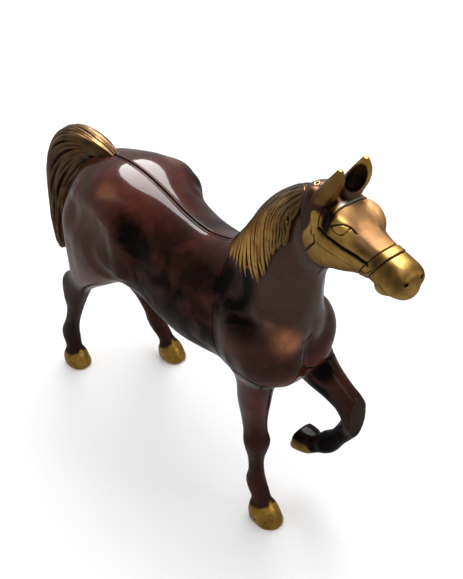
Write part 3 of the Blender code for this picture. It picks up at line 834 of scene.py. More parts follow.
SEAM_ROWS = (0.0, 0.35, 0.75, 1.2, 1.8, 2.5)  # where the skin is cut beside a seam
SPINE_PROFILE = (1.0, 0.8, 0.25)  # half width, depth, height of the lips
SHOULDER_PROFILE = (0.8, 0.38, 0.08)
SPINE_SEAM_FRONT, SPINE_SEAM_LOW, SHOULDER_SEAM_LOW = 60, 95, 98
LEG_CUT_RADIUS = 26  # how far from a leg's middle line its cut reaches
LEG_RADIUS = 30  # how far from it a leg's casting reaches


def make_body(finish):
    """The trunk, forequarters and legs: one skin, with edges along the seams, cut into castings."""
    bm = bmesh_from(*body_field().mesh(6, 0.55, 0.57))
    seam, ahead = seam_plane()
    for offset in SEAM_ROWS:
        for side in (1, -1) if offset else (1,):
            bisect(
                bm, (0, offset * side, 0), (0, 1, 0),
                lambda co: co.x < SPINE_SEAM_FRONT and co.z > SPINE_SEAM_LOW,
            )
            bisect(bm, seam + ahead * offset * side, ahead, lambda co: co.z > SHOULDER_SEAM_LOW)
    cuts = {}
    for name, place in LEG_CUTS.items():
        rows = LEG_TABLES[name]
        middle = middles(rows, [place])[0]
        along = unit(np.diff(middles(rows, [place - 0.4, place + 0.4]), axis=0)[0])
        cuts[name] = (middle, along)
        centre = Vector(middle)
        bisect(
            bm, middle, along,
            lambda co: (co - centre).length < LEG_CUT_RADIUS and co.y * centre.y > 0,
        )
    bmesh.ops.triangulate(bm, faces=[f for f in bm.faces if len(f.verts) > 4])
    points, faces = arrays_of(bm)

    triangles = np.array(
        [t for f in faces for t in ((f[0], f[1], f[2]), (f[0], f[2], f[-1]))[: len(f) - 2]]
    )
    points, masks = shape_body(points, triangles)
    cast_body(points, triangles, masks, cuts, finish)


def shape_body(points, triangles):
    """Gives the body's skin its relief and seams, and finds the masks of its finish."""
    normals = normals_of(points, triangles)
    limbs = {name: limb_places(points, rows) for name, rows in LEG_TABLES.items()}
    masks = body_masks(points, limbs)
    lift = body_relief(points, masks)
    points = points + normals * lift[:, None]
    normals = normals_of(points, triangles)

    # The seams between the castings.
    seam, ahead = seam_plane()
    side = np.abs(points[:, 1])
    before = (points - seam) @ ahead
    spine = ease(-before, -1.5, 1.5)
    low = ease(points[:, 2], 95, 100)
    drop = seam_profile(side, *SPINE_PROFILE) * spine * low
    drop += seam_profile(np.abs(before), *SHOULDER_PROFILE) * low
    raise_mask(masks, "dark", hump(side, SPINE_PROFILE[0]) * spine * low)
    raise_mask(masks, "dark", 0.8 * hump(np.abs(before), SHOULDER_PROFILE[0]) * low)
    return points + normals * drop[:, None], masks


# Places along a leg's table: the coronet, and where the leg's tone begins and is full.
FORE_PLACES = (12.0, 1.5, 4.5)
HIND_PLACES = (14.0, 3.0, 6.5)


def body_masks(points, limbs):
    """gold on the hooves, leg from the elbows and stifles down, dark at the seams, on the raised
    leg and in patches of painted shade, and the painted reflections and wear of BODY_TONES.
    """
    count = len(points)
    gold, leg, black = np.zeros(count), np.zeros(count), np.zeros(count)
    for name, (place, off, turn) in limbs.items():
        coronet, begin, end = HIND_PLACES if "hind" in name else FORE_PLACES
        own = ease(-off, -22, -16)
        wander = 0.35 * np.sin(turn * 3 + 1.3) + 0.25 * np.sin(turn * 7 + 0.4)
        front = hump(np.abs(turn), 1.5)
        start = coronet + 0.1 - front * (0.3 + 0.6 * wander)
        # The raised hoof is gold only low down, and the leg above it is black.
        raised = name == "foreleg_left"
        under = ease(-points[:, 2], -52, -46) if raised else 1.0
        gold = np.maximum(gold, own * under * ease(place, start - 0.25, start + 0.3))
        leg = np.maximum(leg, own * ease(place, begin, end))
        if raised:
            black = np.maximum(black, 0.75 * own * ease(place, 5.0, 7.5))
    seam, ahead = seam_plane()
    masks = {"gold": gold, "leg": leg, "dark": black * (1 - gold), "glow": np.zeros(count)}
    # The same tone covers the upper forequarters, ahead of the shoulder seam.
    masks["worn"] = ease((points - seam) @ ahead, 2, 14) * ease(points[:, 2], 146, 172)
    for key, centre, radii, pitch, share in BODY_TONES:
        raise_mask(masks, key, share * ease(body_blob(points, centre, radii, pitch), 0.08, 0.85))
    return masks


# Tones on the body, mostly painted: painted shade, painted reflections, and wear with painted
# highlights.
# Columns: mask, centre, half lengths, nose-up pitch, share. Those on the left are on both sides.
BODY_TONES = [
    # Partly wear, partly a painted sheen: a tone on the thighs and over the hips.
    ("worn", (-68, 38, 152), (34, 16, 28), 8, 1.0),
    ("worn", (-52, 30, 190), (9, 8, 6), 0, 0.6),
    # Painted shade under the chest, on the forelegs and on the hind legs.
    ("dark", (92, 17, 123), (12, 9, 9), -30, 0.9),
    ("dark", (92, 11, 105), (19, 7, 10), 0, 0.95),
    ("dark", (106, 22, 77), (10, 9, 16), 35, 0.9),
    ("dark", (88, 20, 54), (12, 9, 8), 0, 0.9),
    ("dark", (-123, 26, 40), (10, 10, 30), 0, 0.6),
    # A painted highlight on the point of the shoulder.
    ("worn", (79, 21, 181), (4, 5, 4), 0, 1.0),
    # Painted reflections: copper glow on the haunches, the chest and the left shoulder and elbow,
    # standing for light mirrored in the lacquer.
    ("glow", (-58, 26, 192), (9, 8, 5), 0, 0.3),
    ("glow", (94, -14, 166), (9, 9, 10), 0, 1.0),
    ("glow", (87, -20, 173), (5, 6, 7), 0, 0.35),
    ("glow", (70, 30, 150), (10, 8, 9), 0, 0.16),
    ("glow", (60, 33, 132), (9, 8, 9), 0, 0.14),
    # Painted shade: dark patches on the flank, the barrel and before and behind the shoulder,
    # standing for dark reflections in the lacquer.
    ("dark", (-28, 30, 172), (24, 16, 14), -42, 0.85),
    ("dark", (8, 31, 144), (62, 22, 36), 0, 0.72),
    ("dark", (18, 22, 176), (46, 18, 17), 0, 0.62),
    ("dark", (56, 22, 184), (18, 17, 27), -35, 1.0),
    ("dark", (68, 25, 168), (17, 12, 12), 0, 0.85),
]


def body_relief(points, masks):
    """Muscles, hollows and cast lines, as heights in millimetres. The cast lines go dark."""
    lift = np.zeros(len(points))
    for centre, radii, pitch, height in BODY_RELIEF:
        lift += height * body_blob(points, centre, radii, pitch)
    right = folded(points)
    for path, width, height in BODY_RIDGES:
        near = near_path(right, snapped(path, right, 3.0), width)
        lift += height * hump(near, width)
    for path in BODY_LINES:
        near = near_path(points, snapped(path, points, 1.5), 3.0)
        lift -= CAST_LINE_DEPTH * hump(near, 1.0)
        raise_mask(masks, "dark", hump(near, 1.1))
    return lift


# Soft swellings and hollows on both sides: centre, half lengths, nose-up pitch, height.
BODY_RELIEF = [
    ((-62, 20, 186), (24, 12, 12), 5, 1.0),     # croup
    ((-25, 32, 162), (12, 9, 18), 15, -4.2),    # flank
    ((-44, 34, 138), (9, 9, 10), 0, 1.6),       # stifle
    ((40, 30, 122), (9, 9, 12), 0, -1.6),       # behind the elbow
    ((60, 32, 138), (12, 8, 9), -50, 1.0),      # triceps
    ((66, 22, 172), (7, 8, 12), -45, -1.4),     # before the shoulder blade
    ((80, 21, 181), (6, 7, 6), 0, 1.3),         # point of the shoulder
    ((96, 13, 164), (8, 8, 10), 0, 1.2),        # breast
    ((99, 0, 150), (8, 3.2, 18), 0, -2.0),      # between the breasts
    ((104, 9, 214), (7, 4, 22), -12, -0.9),     # groove of the throat
    ((-97, 30, 150), (12, 9, 24), 20, 1.0),     # back of the thigh
]
# Muscle edges on both sides, drawn on the right: (path), half width, height.
BODY_RIDGES = [
    ([(-90, -29, 178), (-66, -33, 185), (-50, -31, 189), (-39, -27, 187), (-30, -24, 184)], 9, 1.3),
    ([(-40, -31, 180), (-42, -34, 168), (-40, -35, 156), (-39, -33, 144)], 9, 1.9),
    ([(-54, -37, 172), (-64, -40, 156), (-60, -40, 146), (-50, -38, 138)], 8, -1.3),
    ([(-84, -37, 168), (-88, -36, 146), (-86, -33, 124), (-92, -31, 108)], 10, -0.9),
    ([(76, -24, 168), (70, -32, 152), (72, -34, 138)], 9, -0.9),
    ([(97, -11, 236), (101, -9, 214), (98, -12, 192), (88, -17, 176)], 9, -1.0),
    ([(30, -27, 168), (10, -33, 152), (-12, -34, 140), (-32, -33, 132)], 12, -0.6),
]
# Cast lines: above the standing leg, above the raised one, and a flaw before the shoulder seam.
CAST_LINE_DEPTH = 0.45
BODY_LINES = [
    [(60, -34, 131), (70, -35, 134), (78, -33, 136), (85, -27, 133), (88, -18, 127)],
    [(98, -4, 138), (98, 6, 135), (96, 16, 131), (90, 30, 127)],
    [(60, -30, 167), (65, -29, 169), (69, -26, 171), (74, -23, 174)],
]


def cast_body(points, triangles, masks, cuts, finish):
    """Cuts the body's skin into its castings along the seams, and closes each."""
    seam, ahead = seam_plane()
    centres = points[triangles].mean(1)
    label = np.where((centres - seam) @ ahead > 0, 2, (centres[:, 1] > 0).astype(int))
    limbs = {name: limb_places(centres, rows) for name, rows in LEG_TABLES.items()}
    offs = np.stack([limbs[name][1] for name in LEG_TABLES])
    names = ["trunk_right", "trunk_left", "forequarters", *LEG_TABLES]
    for k, name in enumerate(LEG_TABLES):
        middle, along = cuts[name]
        beyond = (centres - middle) @ along > 0
        own = (offs.argmin(0) == k) & (offs[k] < LEG_RADIUS)
        own &= limbs[name][0] > LEG_CUTS[name] - 1
        label[beyond & own] = 3 + k
    for k, name in enumerate(names):
        used, flat = np.unique(triangles[label == k], return_inverse=True)
        piece_points, piece_faces = closed(points[used], flat.reshape(-1, 3))
        place_piece(
            f"{name}_casting", piece_points, piece_faces, finish, [name],
            {key: values[used] for key, values in masks.items()},
        )


def closed(points, faces):
    """Closes a mesh's openings with flat faces."""
    bm = bmesh.new()
    verts = [bm.verts.new(p) for p in points]
    for f in faces:
        bm.faces.new([verts[i] for i in f])
    rims = [e for e in bm.edges if e.is_boundary]
    made = bmesh.ops.holes_fill(bm, edges=rims, sides=0)["faces"]
    bmesh.ops.triangulate(bm, faces=made)
    return arrays_of(bm)


# ---- the head ----------------------------------------------------------------------------------

# The head is shaped in its own axes: along it from the poll, across to the left, and up. What is
# listed for one side is mirrored. Masses: centre, half lengths, pitch, yaw, softness of the join.
HEAD_MASSES = [
    ((29.5, 9.2, -3.6), (8, 4.6, 4.2), -4, -14, 4),      # brow and eye
    ((17, 8.6, -23), (14.5, 6.2, 17.5), 0, -4, 3.0),     # cheek
    ((43, 6.8, -8.0), (13, 2.6, 2.6), -3, -10, 2.0),     # facial crest
    ((68.5, 5.4, -9.5), (6.0, 3.8, 5.4), -12, -4, 2.0),  # nostril
    ((67.3, 0, -15.2), (8.5, 8.6, 8.0), -8, 0, 2.0),     # upper lip
    ((60.0, 0, -22.2), (7.2, 8.8, 4.4), 4, 0, 1.0),      # lower lip
    ((9, 7.5, -2.2), (8, 6, 6.5), 0, 0, 2.5),            # root of the ear
]
LEFT_ORBIT = ((32.5, 10.6, -4.4), (8.5, 4.2, 4.8), -8, -14, 3.5)
HEAD_HOLLOWS = [  # centre, half lengths, pitch, yaw, roll, softness
    ((21.7, 14.6, -2.0), (2.3, 2.0, 7.2), 6, 0, 28, 0.8),  # temple
    ((73.4, 5.4, -7.8), (1.1, 2.3, 1.1), -20, -40, 0, 0.9),  # nostril
]
# Lines on the right side of the head: (path), half width, depth.
HEAD_LINES = {
    "eye_above": (
        [
            (26.3, -13.2, -3.4), (29.3, -10.8, -2.0), (33.3, -8.2, -2.3), (37.3, -7.0, -3.0),
        ], 0.62, 0.5,
    ),
    "eye_below": (
        [
            (26.3, -13.2, -3.4), (28.8, -12.6, -4.6), (31.6, -11.4, -4.9), (33.6, -8.4, -2.5),
        ], 0.62, 0.5,
    ),
    "throat": (
        [
            (17.4, -14.8, -16.5), (18.3, -14.4, -21), (15.5, -14, -27), (12.5, -12, -33),
        ], 0.7, 0.7,
    ),
    "cheek_below": (
        [
            (19.5, -14.8, -19.3), (28.6, -13.3, -20.1), (37.2, -10.9, -20.9), (46, -9.5, -19.5),
            (50.5, -9.4, -17.5),
        ], 0.55, 0.45,
    ),
    "cheek_above": (
        [
            (19.6, -14.9, -10.0), (27.9, -14.3, -11.2), (35.7, -12.2, -12.4),
            (43.4, -10.8, -12.0), (50.6, -9.8, -11.4),
        ], 1.45, 0.9,
    ),
    "crown_behind": (
        [
            (9.9, -11.5, -2.5), (11.0, -13.4, -8.6), (14.1, -14.5, -13.2), (15.8, -14.8, -17.5),
        ], 0.6, 0.45,
    ),
    "crown_before": ([(17.0, -12.5, -1.0), (17.8, -14.0, -5.5), (19.6, -14.9, -10.0)], 0.55, 0.45),
    "mouth": (
        [
            (59.5, -9.8, -16.8), (62.0, -9.8, -17.8), (64.5, -9.4, -19.0), (67, -8.4, -20.4),
            (69, -6.5, -21.6),
        ], 0.8, 0.8,
    ),
    "noseband_end": ([(54.2, -9.4, -12.5), (51.5, -9.6, -17.0)], 0.4, 0.35),
}
BROW = [
    (24.5, -13.4, -1.6), (28.5, -10.0, -0.2), (33, -6.8, -0.9), (40, -5.6, -2.3),
    (46.5, -5.6, -3.3), (52.5, -5.0, -3.2),
]
STRAPS = {  # (path), half width: the raised straps of the halter on one side
    "cheek": (
        [
            (19, -14.9, -14.8), (28, -13.9, -15.8), (36, -11.6, -16.7), (44, -10.2, -16.0),
            (51, -9.7, -14.4),
        ], 3.9,
    ),
    "crown": (
        [
            (13, -12.0, -2.0), (14.4, -13.8, -7.5), (16.8, -14.7, -12.6), (17.3, -14.9, -16.5),
        ], 3.2,
    ),
}
NOSEBAND = (53.3, 59.0)  # along the head at a height of -3; it leans back below that
NOSEBAND_LEAN = 0.40
BROWBAND = 23.4  # along the head
BAND_HEIGHT, STRAP_HEIGHT, BROWBAND_HEIGHT, BAND_CUT = 0.42, 0.40, 0.35, 0.42


def from_head(points):
    """From the head's own axes to the tables'."""
    return turned(points, -HEAD_PITCH, HEAD_YAW) + np.array(POLL, float)


def refine(points, faces, wanted):
    """Halves the edges of a mesh where wanted(points) is true, and gives back triangles."""
    bm = bmesh_from(points, faces)
    chosen = wanted(points)
    near = [e for e in bm.edges if chosen[e.verts[0].index] and chosen[e.verts[1].index]]
    bmesh.ops.subdivide_edges(bm, edges=near, cuts=1, use_grid_fill=True)
    bmesh.ops.triangulate(bm, faces=bm.faces)
    points, faces = arrays_of(bm)
    return points, np.array(faces)


def recesses(points, faces, rounds, depth):
    """0 on the outside and 1 in recesses this deep, from how far smoothing lifts the surface."""
    edges = edges_of(faces)
    smooth = relax(points, edges, 1.0, rounds)
    lift = ((smooth - points) * normals_of(points, faces)).sum(1)
    return relax(np.repeat(lift[:, None], 3, 1), edges, 1.0, 2)[:, 0] / depth


def noseband_place(points):
    """How far along the head points are, in the lean of the noseband."""
    return points[:, 0] - NOSEBAND_LEAN * (points[:, 2] + 3)


def make_head(finish):
    rows = [(a, b, c, d, 0, w, widest, p, q) for a, b, c, d, w, widest, p, q in HEAD]
    field = Field(*GRIDS["head"])
    field.add(loft(rows, steps=10))
    for (s, l, n), radii, pitch, yaw, reach in HEAD_MASSES:
        for side in (1, -1) if l else (1,):
            field.add(ellipsoid((s, l * side, n), radii, pitch, yaw * side), reach)
    centre, radii, pitch, yaw, reach = LEFT_ORBIT
    field.add(ellipsoid(centre, radii, pitch, yaw), reach)
    for (s, l, n), radii, pitch, yaw, roll, reach in HEAD_HOLLOWS:
        for side in (1, -1):
            field.cut(ellipsoid((s, l * side, n), radii, pitch, yaw * side, roll * side), reach)
    points, quads = field.mesh(4)

    right = folded(points)
    paths = {key: snapped(path, right, 1.0) for key, (path, _, _) in HEAD_LINES.items()}
    straps = {key: snapped(path, right, 1.0) for key, (path, _) in STRAPS.items()}
    brow = snapped(BROW, right, 1.0)

    def detailed(p):
        """Which points are near a line or an edge that needs a finer mesh."""
        side = folded(p)
        close = np.zeros(len(p), bool)
        for edge in NOSEBAND:
            close |= np.abs(noseband_place(p) - edge) < 1.5
        close |= (np.abs(p[:, 0] - BROWBAND) < 1.3) & (p[:, 2] > -2)
        for path in paths.values():
            close |= near_path(side, path, 3.0) < 1.7
        for key, path in straps.items():
            close |= np.abs(near_path(side, path, 8.0) - STRAPS[key][1]) < 1.0
        return close

    points, triangles = refine(points, quads, detailed)
    points = relax(points, edges_of(triangles), 1.0, 1, 0.4, 0.41)
    side = folded(points)
    normals = normals_of(points, triangles)
    lift = np.zeros(len(points))
    dark = np.zeros(len(points))

    # The noseband, raised all round between two cut lines.
    along = noseband_place(points)
    behind, before = NOSEBAND
    band = ease(along, behind - 0.2, behind + 0.5) * ease(-along, -before - 0.2, -before + 0.5)
    lift += BAND_HEIGHT * band
    for edge in NOSEBAND:
        line = hump(np.abs(along - edge), 0.85)
        lift -= BAND_CUT * line
        dark = np.maximum(dark, line)
    # The straps.
    raised = np.zeros(len(points))
    for key, (_, half) in STRAPS.items():
        off = near_path(side, straps[key], half + 2)
        raised = np.maximum(raised, ease(-off, -half - 0.1, -half + 0.6))
    lift += STRAP_HEIGHT * raised * (1 - band)
    # The browband: a step with a cut line across the forehead, between the eyes and the ears.
    over = ease(points[:, 2], -3.0, 0.0) * (np.abs(points[:, 1]) < 30)
    line = hump(np.abs(points[:, 0] - BROWBAND), 0.6) * over
    lift -= BAND_CUT * line
    step = ease(-points[:, 0], -BROWBAND, -BROWBAND + 0.8) * ease(points[:, 0], 18, 22)
    lift += BROWBAND_HEIGHT * step * over
    dark = np.maximum(dark, line)
    for key, (_, width, depth) in HEAD_LINES.items():
        off = near_path(side, paths[key], 3.0)
        lift -= depth * hump(off, width * 1.35)
        dark = np.maximum(dark, 1 - ease(off, width * 0.45, width * 1.2))
    lift += 0.15 * hump(near_path(side, brow, 4.0), 1.9)
    lift += 0.35 * blob(side, (30.3, -10.6, -3.5), (2.6, 2.2, 1.6))
    points = points + normals * lift[:, None]

    masks = head_masks(points, triangles, dark)
    place, forward = poll_plane()
    points, triangles, masks = sliced(
        from_head(points), triangles, masks, place + forward * 0.1, forward
    )
    place_piece("head_casting", points, triangles, finish, ["head"], masks)


def head_masks(points, triangles, dark):
    """The masks of the head's finish. s is along it from the poll, n up."""
    s, n = points[:, 0], points[:, 2]
    side = folded(points)
    deep = np.clip(recesses(points, triangles, 12, 0.16), 0, 1)
    dark = np.maximum(dark, 0.9 * deep)
    for centre, radii, pitch, share in HEAD_PATINA:
        near = share * blob(side, centre, radii, pitch)
        dark = np.maximum(dark, near if share < 1 else near * (points[:, 1] < 0))
    copper = ease(n, -8, -4.5) * ease(s, 22, 25) * ease(-s, -55, -49)
    copper *= ease(points[:, 1], -10.5, -7)
    edge = np.interp(-n, *LACQUER_EDGE)
    lacquer = ease(edge - s, -0.5, 0.5) * ease(n, -38, -34)
    lacquer = np.maximum(lacquer, ease(-s, -22.5, -19.5) * ease(n, -4.5, -2.0))
    lacquer = np.maximum(lacquer, 0.48 * ease(s, 35, 46) * ease(n, -12, -5))
    solder = ease(n, -3, 0) * ease(s, 11, 14) * ease(-s, -24.5, -23)
    solder *= ease(-np.abs(points[:, 1] - 1.0), -9, -6)
    return {"dark": np.clip(dark, 0, 1), "copper": copper, "solder": solder, "lacquer": lacquer}


# Where the neck's lacquer ends on the cheek: depths below the poll, places along the head.
LACQUER_EDGE = (2, 7.5, 12.6, 16.5, 22, 28, 34), (9.5, 10.9, 12.5, 11.5, 9.0, 8.0, 7.0)
# Brown patina: centre, half lengths, pitch, share. It is on both sides if the share is below 1.
HEAD_PATINA = [
    ((44, -7.5, -7.0), (10, 3.5, 2.0), -4, 0.62),
    ((64, -7.5, -8.5), (7, 4.0, 5.0), -10, 0.7),
    ((70, -7.5, -9.0), (4.5, 4, 6.0), -10, 0.7),
    ((55, -9.0, -8.0), (3.5, 3, 5), 0, 0.8),
    ((23.0, -13.6, -2.6), (2.9, 4.2, 6.8), 6, 2.4),
    ((73.4, -5.6, -7.6), (1.0, 1.6, 0.8), 0, 0.6),
]


def sliced(points, faces, masks, place, forward):
    """What lies ahead of a plane, closed there."""
    bm = bmesh.new()
    layers = {key: bm.verts.layers.float.new(key) for key in masks}
    verts = [bm.verts.new(p) for p in points]
    for key, layer in layers.items():
        for vert, value in zip(verts, masks[key]):
            vert[layer] = value
    for f in faces:
        bm.faces.new([verts[i] for i in f])
    cut = bmesh.ops.bisect_plane(
        bm, geom=[*bm.verts, *bm.edges, *bm.faces], dist=WELD,
        plane_co=Vector(place), plane_no=Vector(forward), clear_inner=True,
    )
    rims = [e for e in cut["geom_cut"] if isinstance(e, bmesh.types.BMEdge)]
    bmesh.ops.holes_fill(bm, edges=rims, sides=0)
    bmesh.ops.triangulate(bm, faces=[f for f in bm.faces if len(f.verts) > 3])
    masks = {key: np.array([v[layer] for v in bm.verts]) for key, layer in layers.items()}
    return *arrays_of(bm), masks


def make_ears(finish):
    """Two ears with their hollows. The left one is soldered, the right one lacquered brown."""
    for name, rows in EARS.items():
        left = name == "left"
        field = Field(*GRIDS["ear"])
        field.add(loft(rows, steps=12, sides=64))
        centre, radii, pitch = EAR_HOLLOWS[name]
        field.cut(ellipsoid(centre, radii, pitch), 0.6)
        points, quads = field.mesh(3)
        away = turned(points - centre, -pitch) / radii
        inside = 1 - ease(np.linalg.norm(away, axis=1), 0.98, 1.12)
        dark = inside * (1 - 0.75 * ease(points[:, 2], 284, 292))
        deep = np.clip(recesses(points, quads, 12, 0.2), 0, 1)
        low = ease(-points[:, 2], -285, -279) if left else ease(-points[:, 2], -280, -272)
        heights = [(row[1] + row[3]) / 2 for row in rows]
        back = np.interp(points[:, 2], heights, [row[2] for row in rows])
        depth = np.interp(points[:, 2], heights, [row[0] - row[2] for row in rows])
        lower = np.clip((286 - points[:, 2]) / 14, 0, 1)
        behind = ease(0.34 * lower - (points[:, 0] - back) / depth, -0.30, -0.12)
        tip = ease(points[:, 2], 287, 295)
        brown = np.maximum(0 if left else low, 0.9 * behind)
        brown = np.maximum(brown, 0.10 * (1 - tip) if left else 0.62)
        brown = np.maximum(brown, 0.8 * inside)
        masks = {
            "dark": np.clip(np.maximum(dark, 0.8 * deep), 0, 1), "copper": np.zeros(len(points)),
            "solder": 0.8 * low * left, "lacquer": brown,
        }
        node = f"ear_{name}"
        place_piece(f"{node}_casting", points, quads, finish, [node], masks)


# ---- mane and tail -----------------------------------------------------------------------------

# Locks of the mane on the neck, by the neck's place and the turn from the crest to the right: the
# start near the poll, the way along the crest, the bend, the fall and the tip.
MANE_LOCKS = [
    ((6.0, -0.05), (4.6, -0.04), (3.2, 0.0), (1.9, 0.02), (1.25, 0.14), (0.85, 0.34)),
    ((6.2, 0.02), (4.9, 0.02), (3.5, 0.06), (2.2, 0.10), (1.65, 0.26), (1.25, 0.48)),
    ((6.4, 0.08), (5.2, 0.08), (3.9, 0.10), (2.75, 0.16), (2.12, 0.44), (1.68, 0.74)),
    ((6.6, 0.14), (5.4, 0.14), (4.3, 0.16), (3.20, 0.26), (2.80, 0.64), (2.42, 1.06)),
    ((6.75, 0.24), (5.8, 0.26), (4.75, 0.26), (3.85, 0.40), (3.44, 0.84), (3.10, 1.36)),
    ((6.85, 0.30), (6.1, 0.36), (5.25, 0.44), (4.38, 0.58), (3.96, 1.04), (3.62, 1.52)),
    ((6.9, 0.34), (6.3, 0.44), (5.60, 0.56), (4.86, 0.76), (4.50, 1.12), (4.18, 1.44)),
    ((6.95, 0.38), (6.5, 0.50), (5.90, 0.66), (5.28, 0.86), (4.98, 1.18), (4.78, 1.45)),
    ((7.0, 0.42), (6.7, 0.60), (6.25, 0.76), (5.75, 0.96), (5.48, 1.28), (5.12, 1.48)),
    ((7.0, 0.46), (6.8, 0.66), (6.45, 0.80), (5.95, 0.95), (6.02, 1.28), (5.60, 1.52)),
    ((7.0, 0.56), (6.95, 0.72), (6.80, 0.86), (6.60, 0.94), (6.42, 1.0), (6.25, 1.05)),
]
MANE_STRANDS = 23
# Strands along the crest: the turn from it, and the height above the neck.
CREST_STRANDS = ((-0.20, 1.9), (-0.12, 2.1), (-0.04, 2.2), (0.05, 2.2), (0.13, 2.1))
# The outline, seen from the side, of the thin sheet that the strands lie on.
MANE_BASE = [
    (32, 193), (24, 203), (50, 243), (78, 272), (92, 283), (97, 271), (97, 258), (94, 246),
    (88, 233), (81, 219), (73, 208), (63, 202), (51, 199), (41, 194),
]


def on_sections(rows, turns, lifts):
    """A point at a turn round each row's section, lifted off it."""
    return np.array([section(row, np.array([t]), g)[0, 0] for row, t, g in zip(rows, turns, lifts)])


def on_neck(places, turns, lift):
    """Points over the neck at these places and turns to the right of the crest."""
    rows = spline(NECK, places)
    return on_sections(rows, -turns, np.broadcast_to(lift, (len(rows),)))


def prism(outline, low, high):
    """A side-view outline drawn through the horse from one y to another."""
    flat = [Vector((x, z, 0)) for x, z in outline]
    triangles = np.array(tessellate_polygon([flat]))
    count = len(outline)
    near = np.array([(x, low, z) for x, z in outline], float)
    far = np.array([(x, high, z) for x, z in outline], float)
    k = np.arange(count)
    j = (k + 1) % count
    walls = np.vstack([np.stack([k, j, j + count], 1), np.stack([k, j + count, k + count], 1)])
    faces = np.vstack([triangles[:, ::-1], triangles + count, walls])
    points = np.vstack([near, far])
    a, b, c = (points[faces[:, i]] for i in range(3))
    return (points, faces) if (np.cross(a, b) * c).sum() > 0 else (points, faces[:, ::-1])


def joined(solids):
    """Several closed skins as one."""
    points, faces, count = [], [], 0
    for solid_points, solid_faces in solids:
        points.append(solid_points)
        faces.append(solid_faces + count)
        count += len(solid_points)
    return np.vstack(points), np.vstack(faces)


def make_mane(finish):
    """Strands over the crest and the right side of the neck, on a thin sheet."""
    rng = np.random.default_rng(7)
    locks = np.array(MANE_LOCKS)
    strands = []
    for k in range(MANE_STRANDS):
        share = k / (MANE_STRANDS - 1) * (len(locks) - 1)
        i = min(int(share), len(locks) - 2)
        control = locks[i] + (locks[i + 1] - locks[i]) * (share - i)
        control[-1] += (rng.uniform(-0.12, 0.12), rng.uniform(-0.05, 0.05))
        path = spline(control, np.linspace(0, 5, 50))
        t = np.linspace(0, 1, 50)
        taper = ease(t, -0.8, 0.4) * (1 - 0.75 * ease(t, 0.9, 1.0))
        radii = (1.12 + 0.1 * np.sin(k * 2.3)) * taper + 0.05
        lift = 2.5 - 0.9 * ease(t, 0.3, 0.9) + 0.25 * np.sin(t * 9 + k * 1.7)
        strands.append(tube(on_neck(path[:, 0], path[:, 1], lift), radii))
    for turn, lift in CREST_STRANDS:
        places = np.linspace(1.3, 6.9, 60)
        wave = turn + 0.03 * np.sin(places * 2 + turn * 30)
        radii = 0.95 * ease(places, 1.0, 2.4) * ease(-places, -7.1, -6.4) + 0.12
        strands.append(tube(on_neck(places, wave, lift), radii))
    field = Field(*GRIDS["mane"])
    sheet = field.distances(loft(NECK, grow=0.55))
    sheet = np.maximum(sheet, field.distances(prism(MANE_BASE, -60, 3.5)))
    field.values = np.minimum(field.distances(joined(strands)), sheet)
    field.values = np.maximum(field.values, -field.distances(loft(NECK, grow=-0.4)))
    points, quads = field.mesh(2, whole=False)
    deep = 1.5 * recesses(points, quads, 12, 0.07)
    brown = np.maximum(hump(np.abs(points[:, 1]), 15), 0.75 * ease(points[:, 0], 74, 96))
    masks = {"dark": np.clip(deep, 0, 1), "brown": brown}
    place_piece("mane_casting", points, quads, finish, ["mane"], masks)


def largest(points, faces):
    """The largest connected part of a mesh."""
    count = len(points)
    label = np.arange(count)
    edges = edges_of(faces)
    while True:
        low = np.minimum(label[edges[:, 0]], label[edges[:, 1]])
        new = label.copy()
        np.minimum.at(new, edges[:, 0], low)
        np.minimum.at(new, edges[:, 1], low)
        new = new[new]
        if (new == label).all():
            break
        label = new
    keep = label == np.bincount(label).argmax()
    faces = faces[keep[faces].all(1)]
    used, flat = np.unique(faces, return_inverse=True)
    return points[used], flat.reshape(faces.shape)


POLL_PIN = ((106.3, -3.0, 272.0), (-0.15, -0.25, 0.95), 1.7, 8.0)  # centre, axis, radius, length


def make_poll_pin(finish):
    """The peened pin behind the ears: a raised rim round a dark middle."""
    centre, axis, radius, length = POLL_PIN
    axis = Vector(axis).normalized()
    aside = axis.orthogonal().normalized()
    over = axis.cross(aside)
    middle = np.array(Vector(centre))
    top = middle + np.array(axis) * (length / 2 + 0.2)
    shank = tube([middle - np.array(axis) * length / 2, middle, top], radius - 0.5, 24)
    turns = np.linspace(0, 2 * math.pi, 41)
    reach = radius - 0.35
    ring = [top + np.array(aside * math.cos(t) + over * math.sin(t)) * reach for t in turns]
    field = Field(*GRIDS["poll_pin"])
    field.add(shank)
    field.add(tube(ring, 0.42, 12), 0.3)
    points, quads = field.mesh(2)
    off = np.linalg.norm(np.cross(points - middle, np.array(axis)), axis=1)
    dark = 1 - ease(off, radius - 0.95, radius - 0.6)
    masks = {"dark": dark}
    place_piece("poll_pin_peened", points, quads, finish, ["poll_pin"], masks)


TAIL_STRANDS = 42


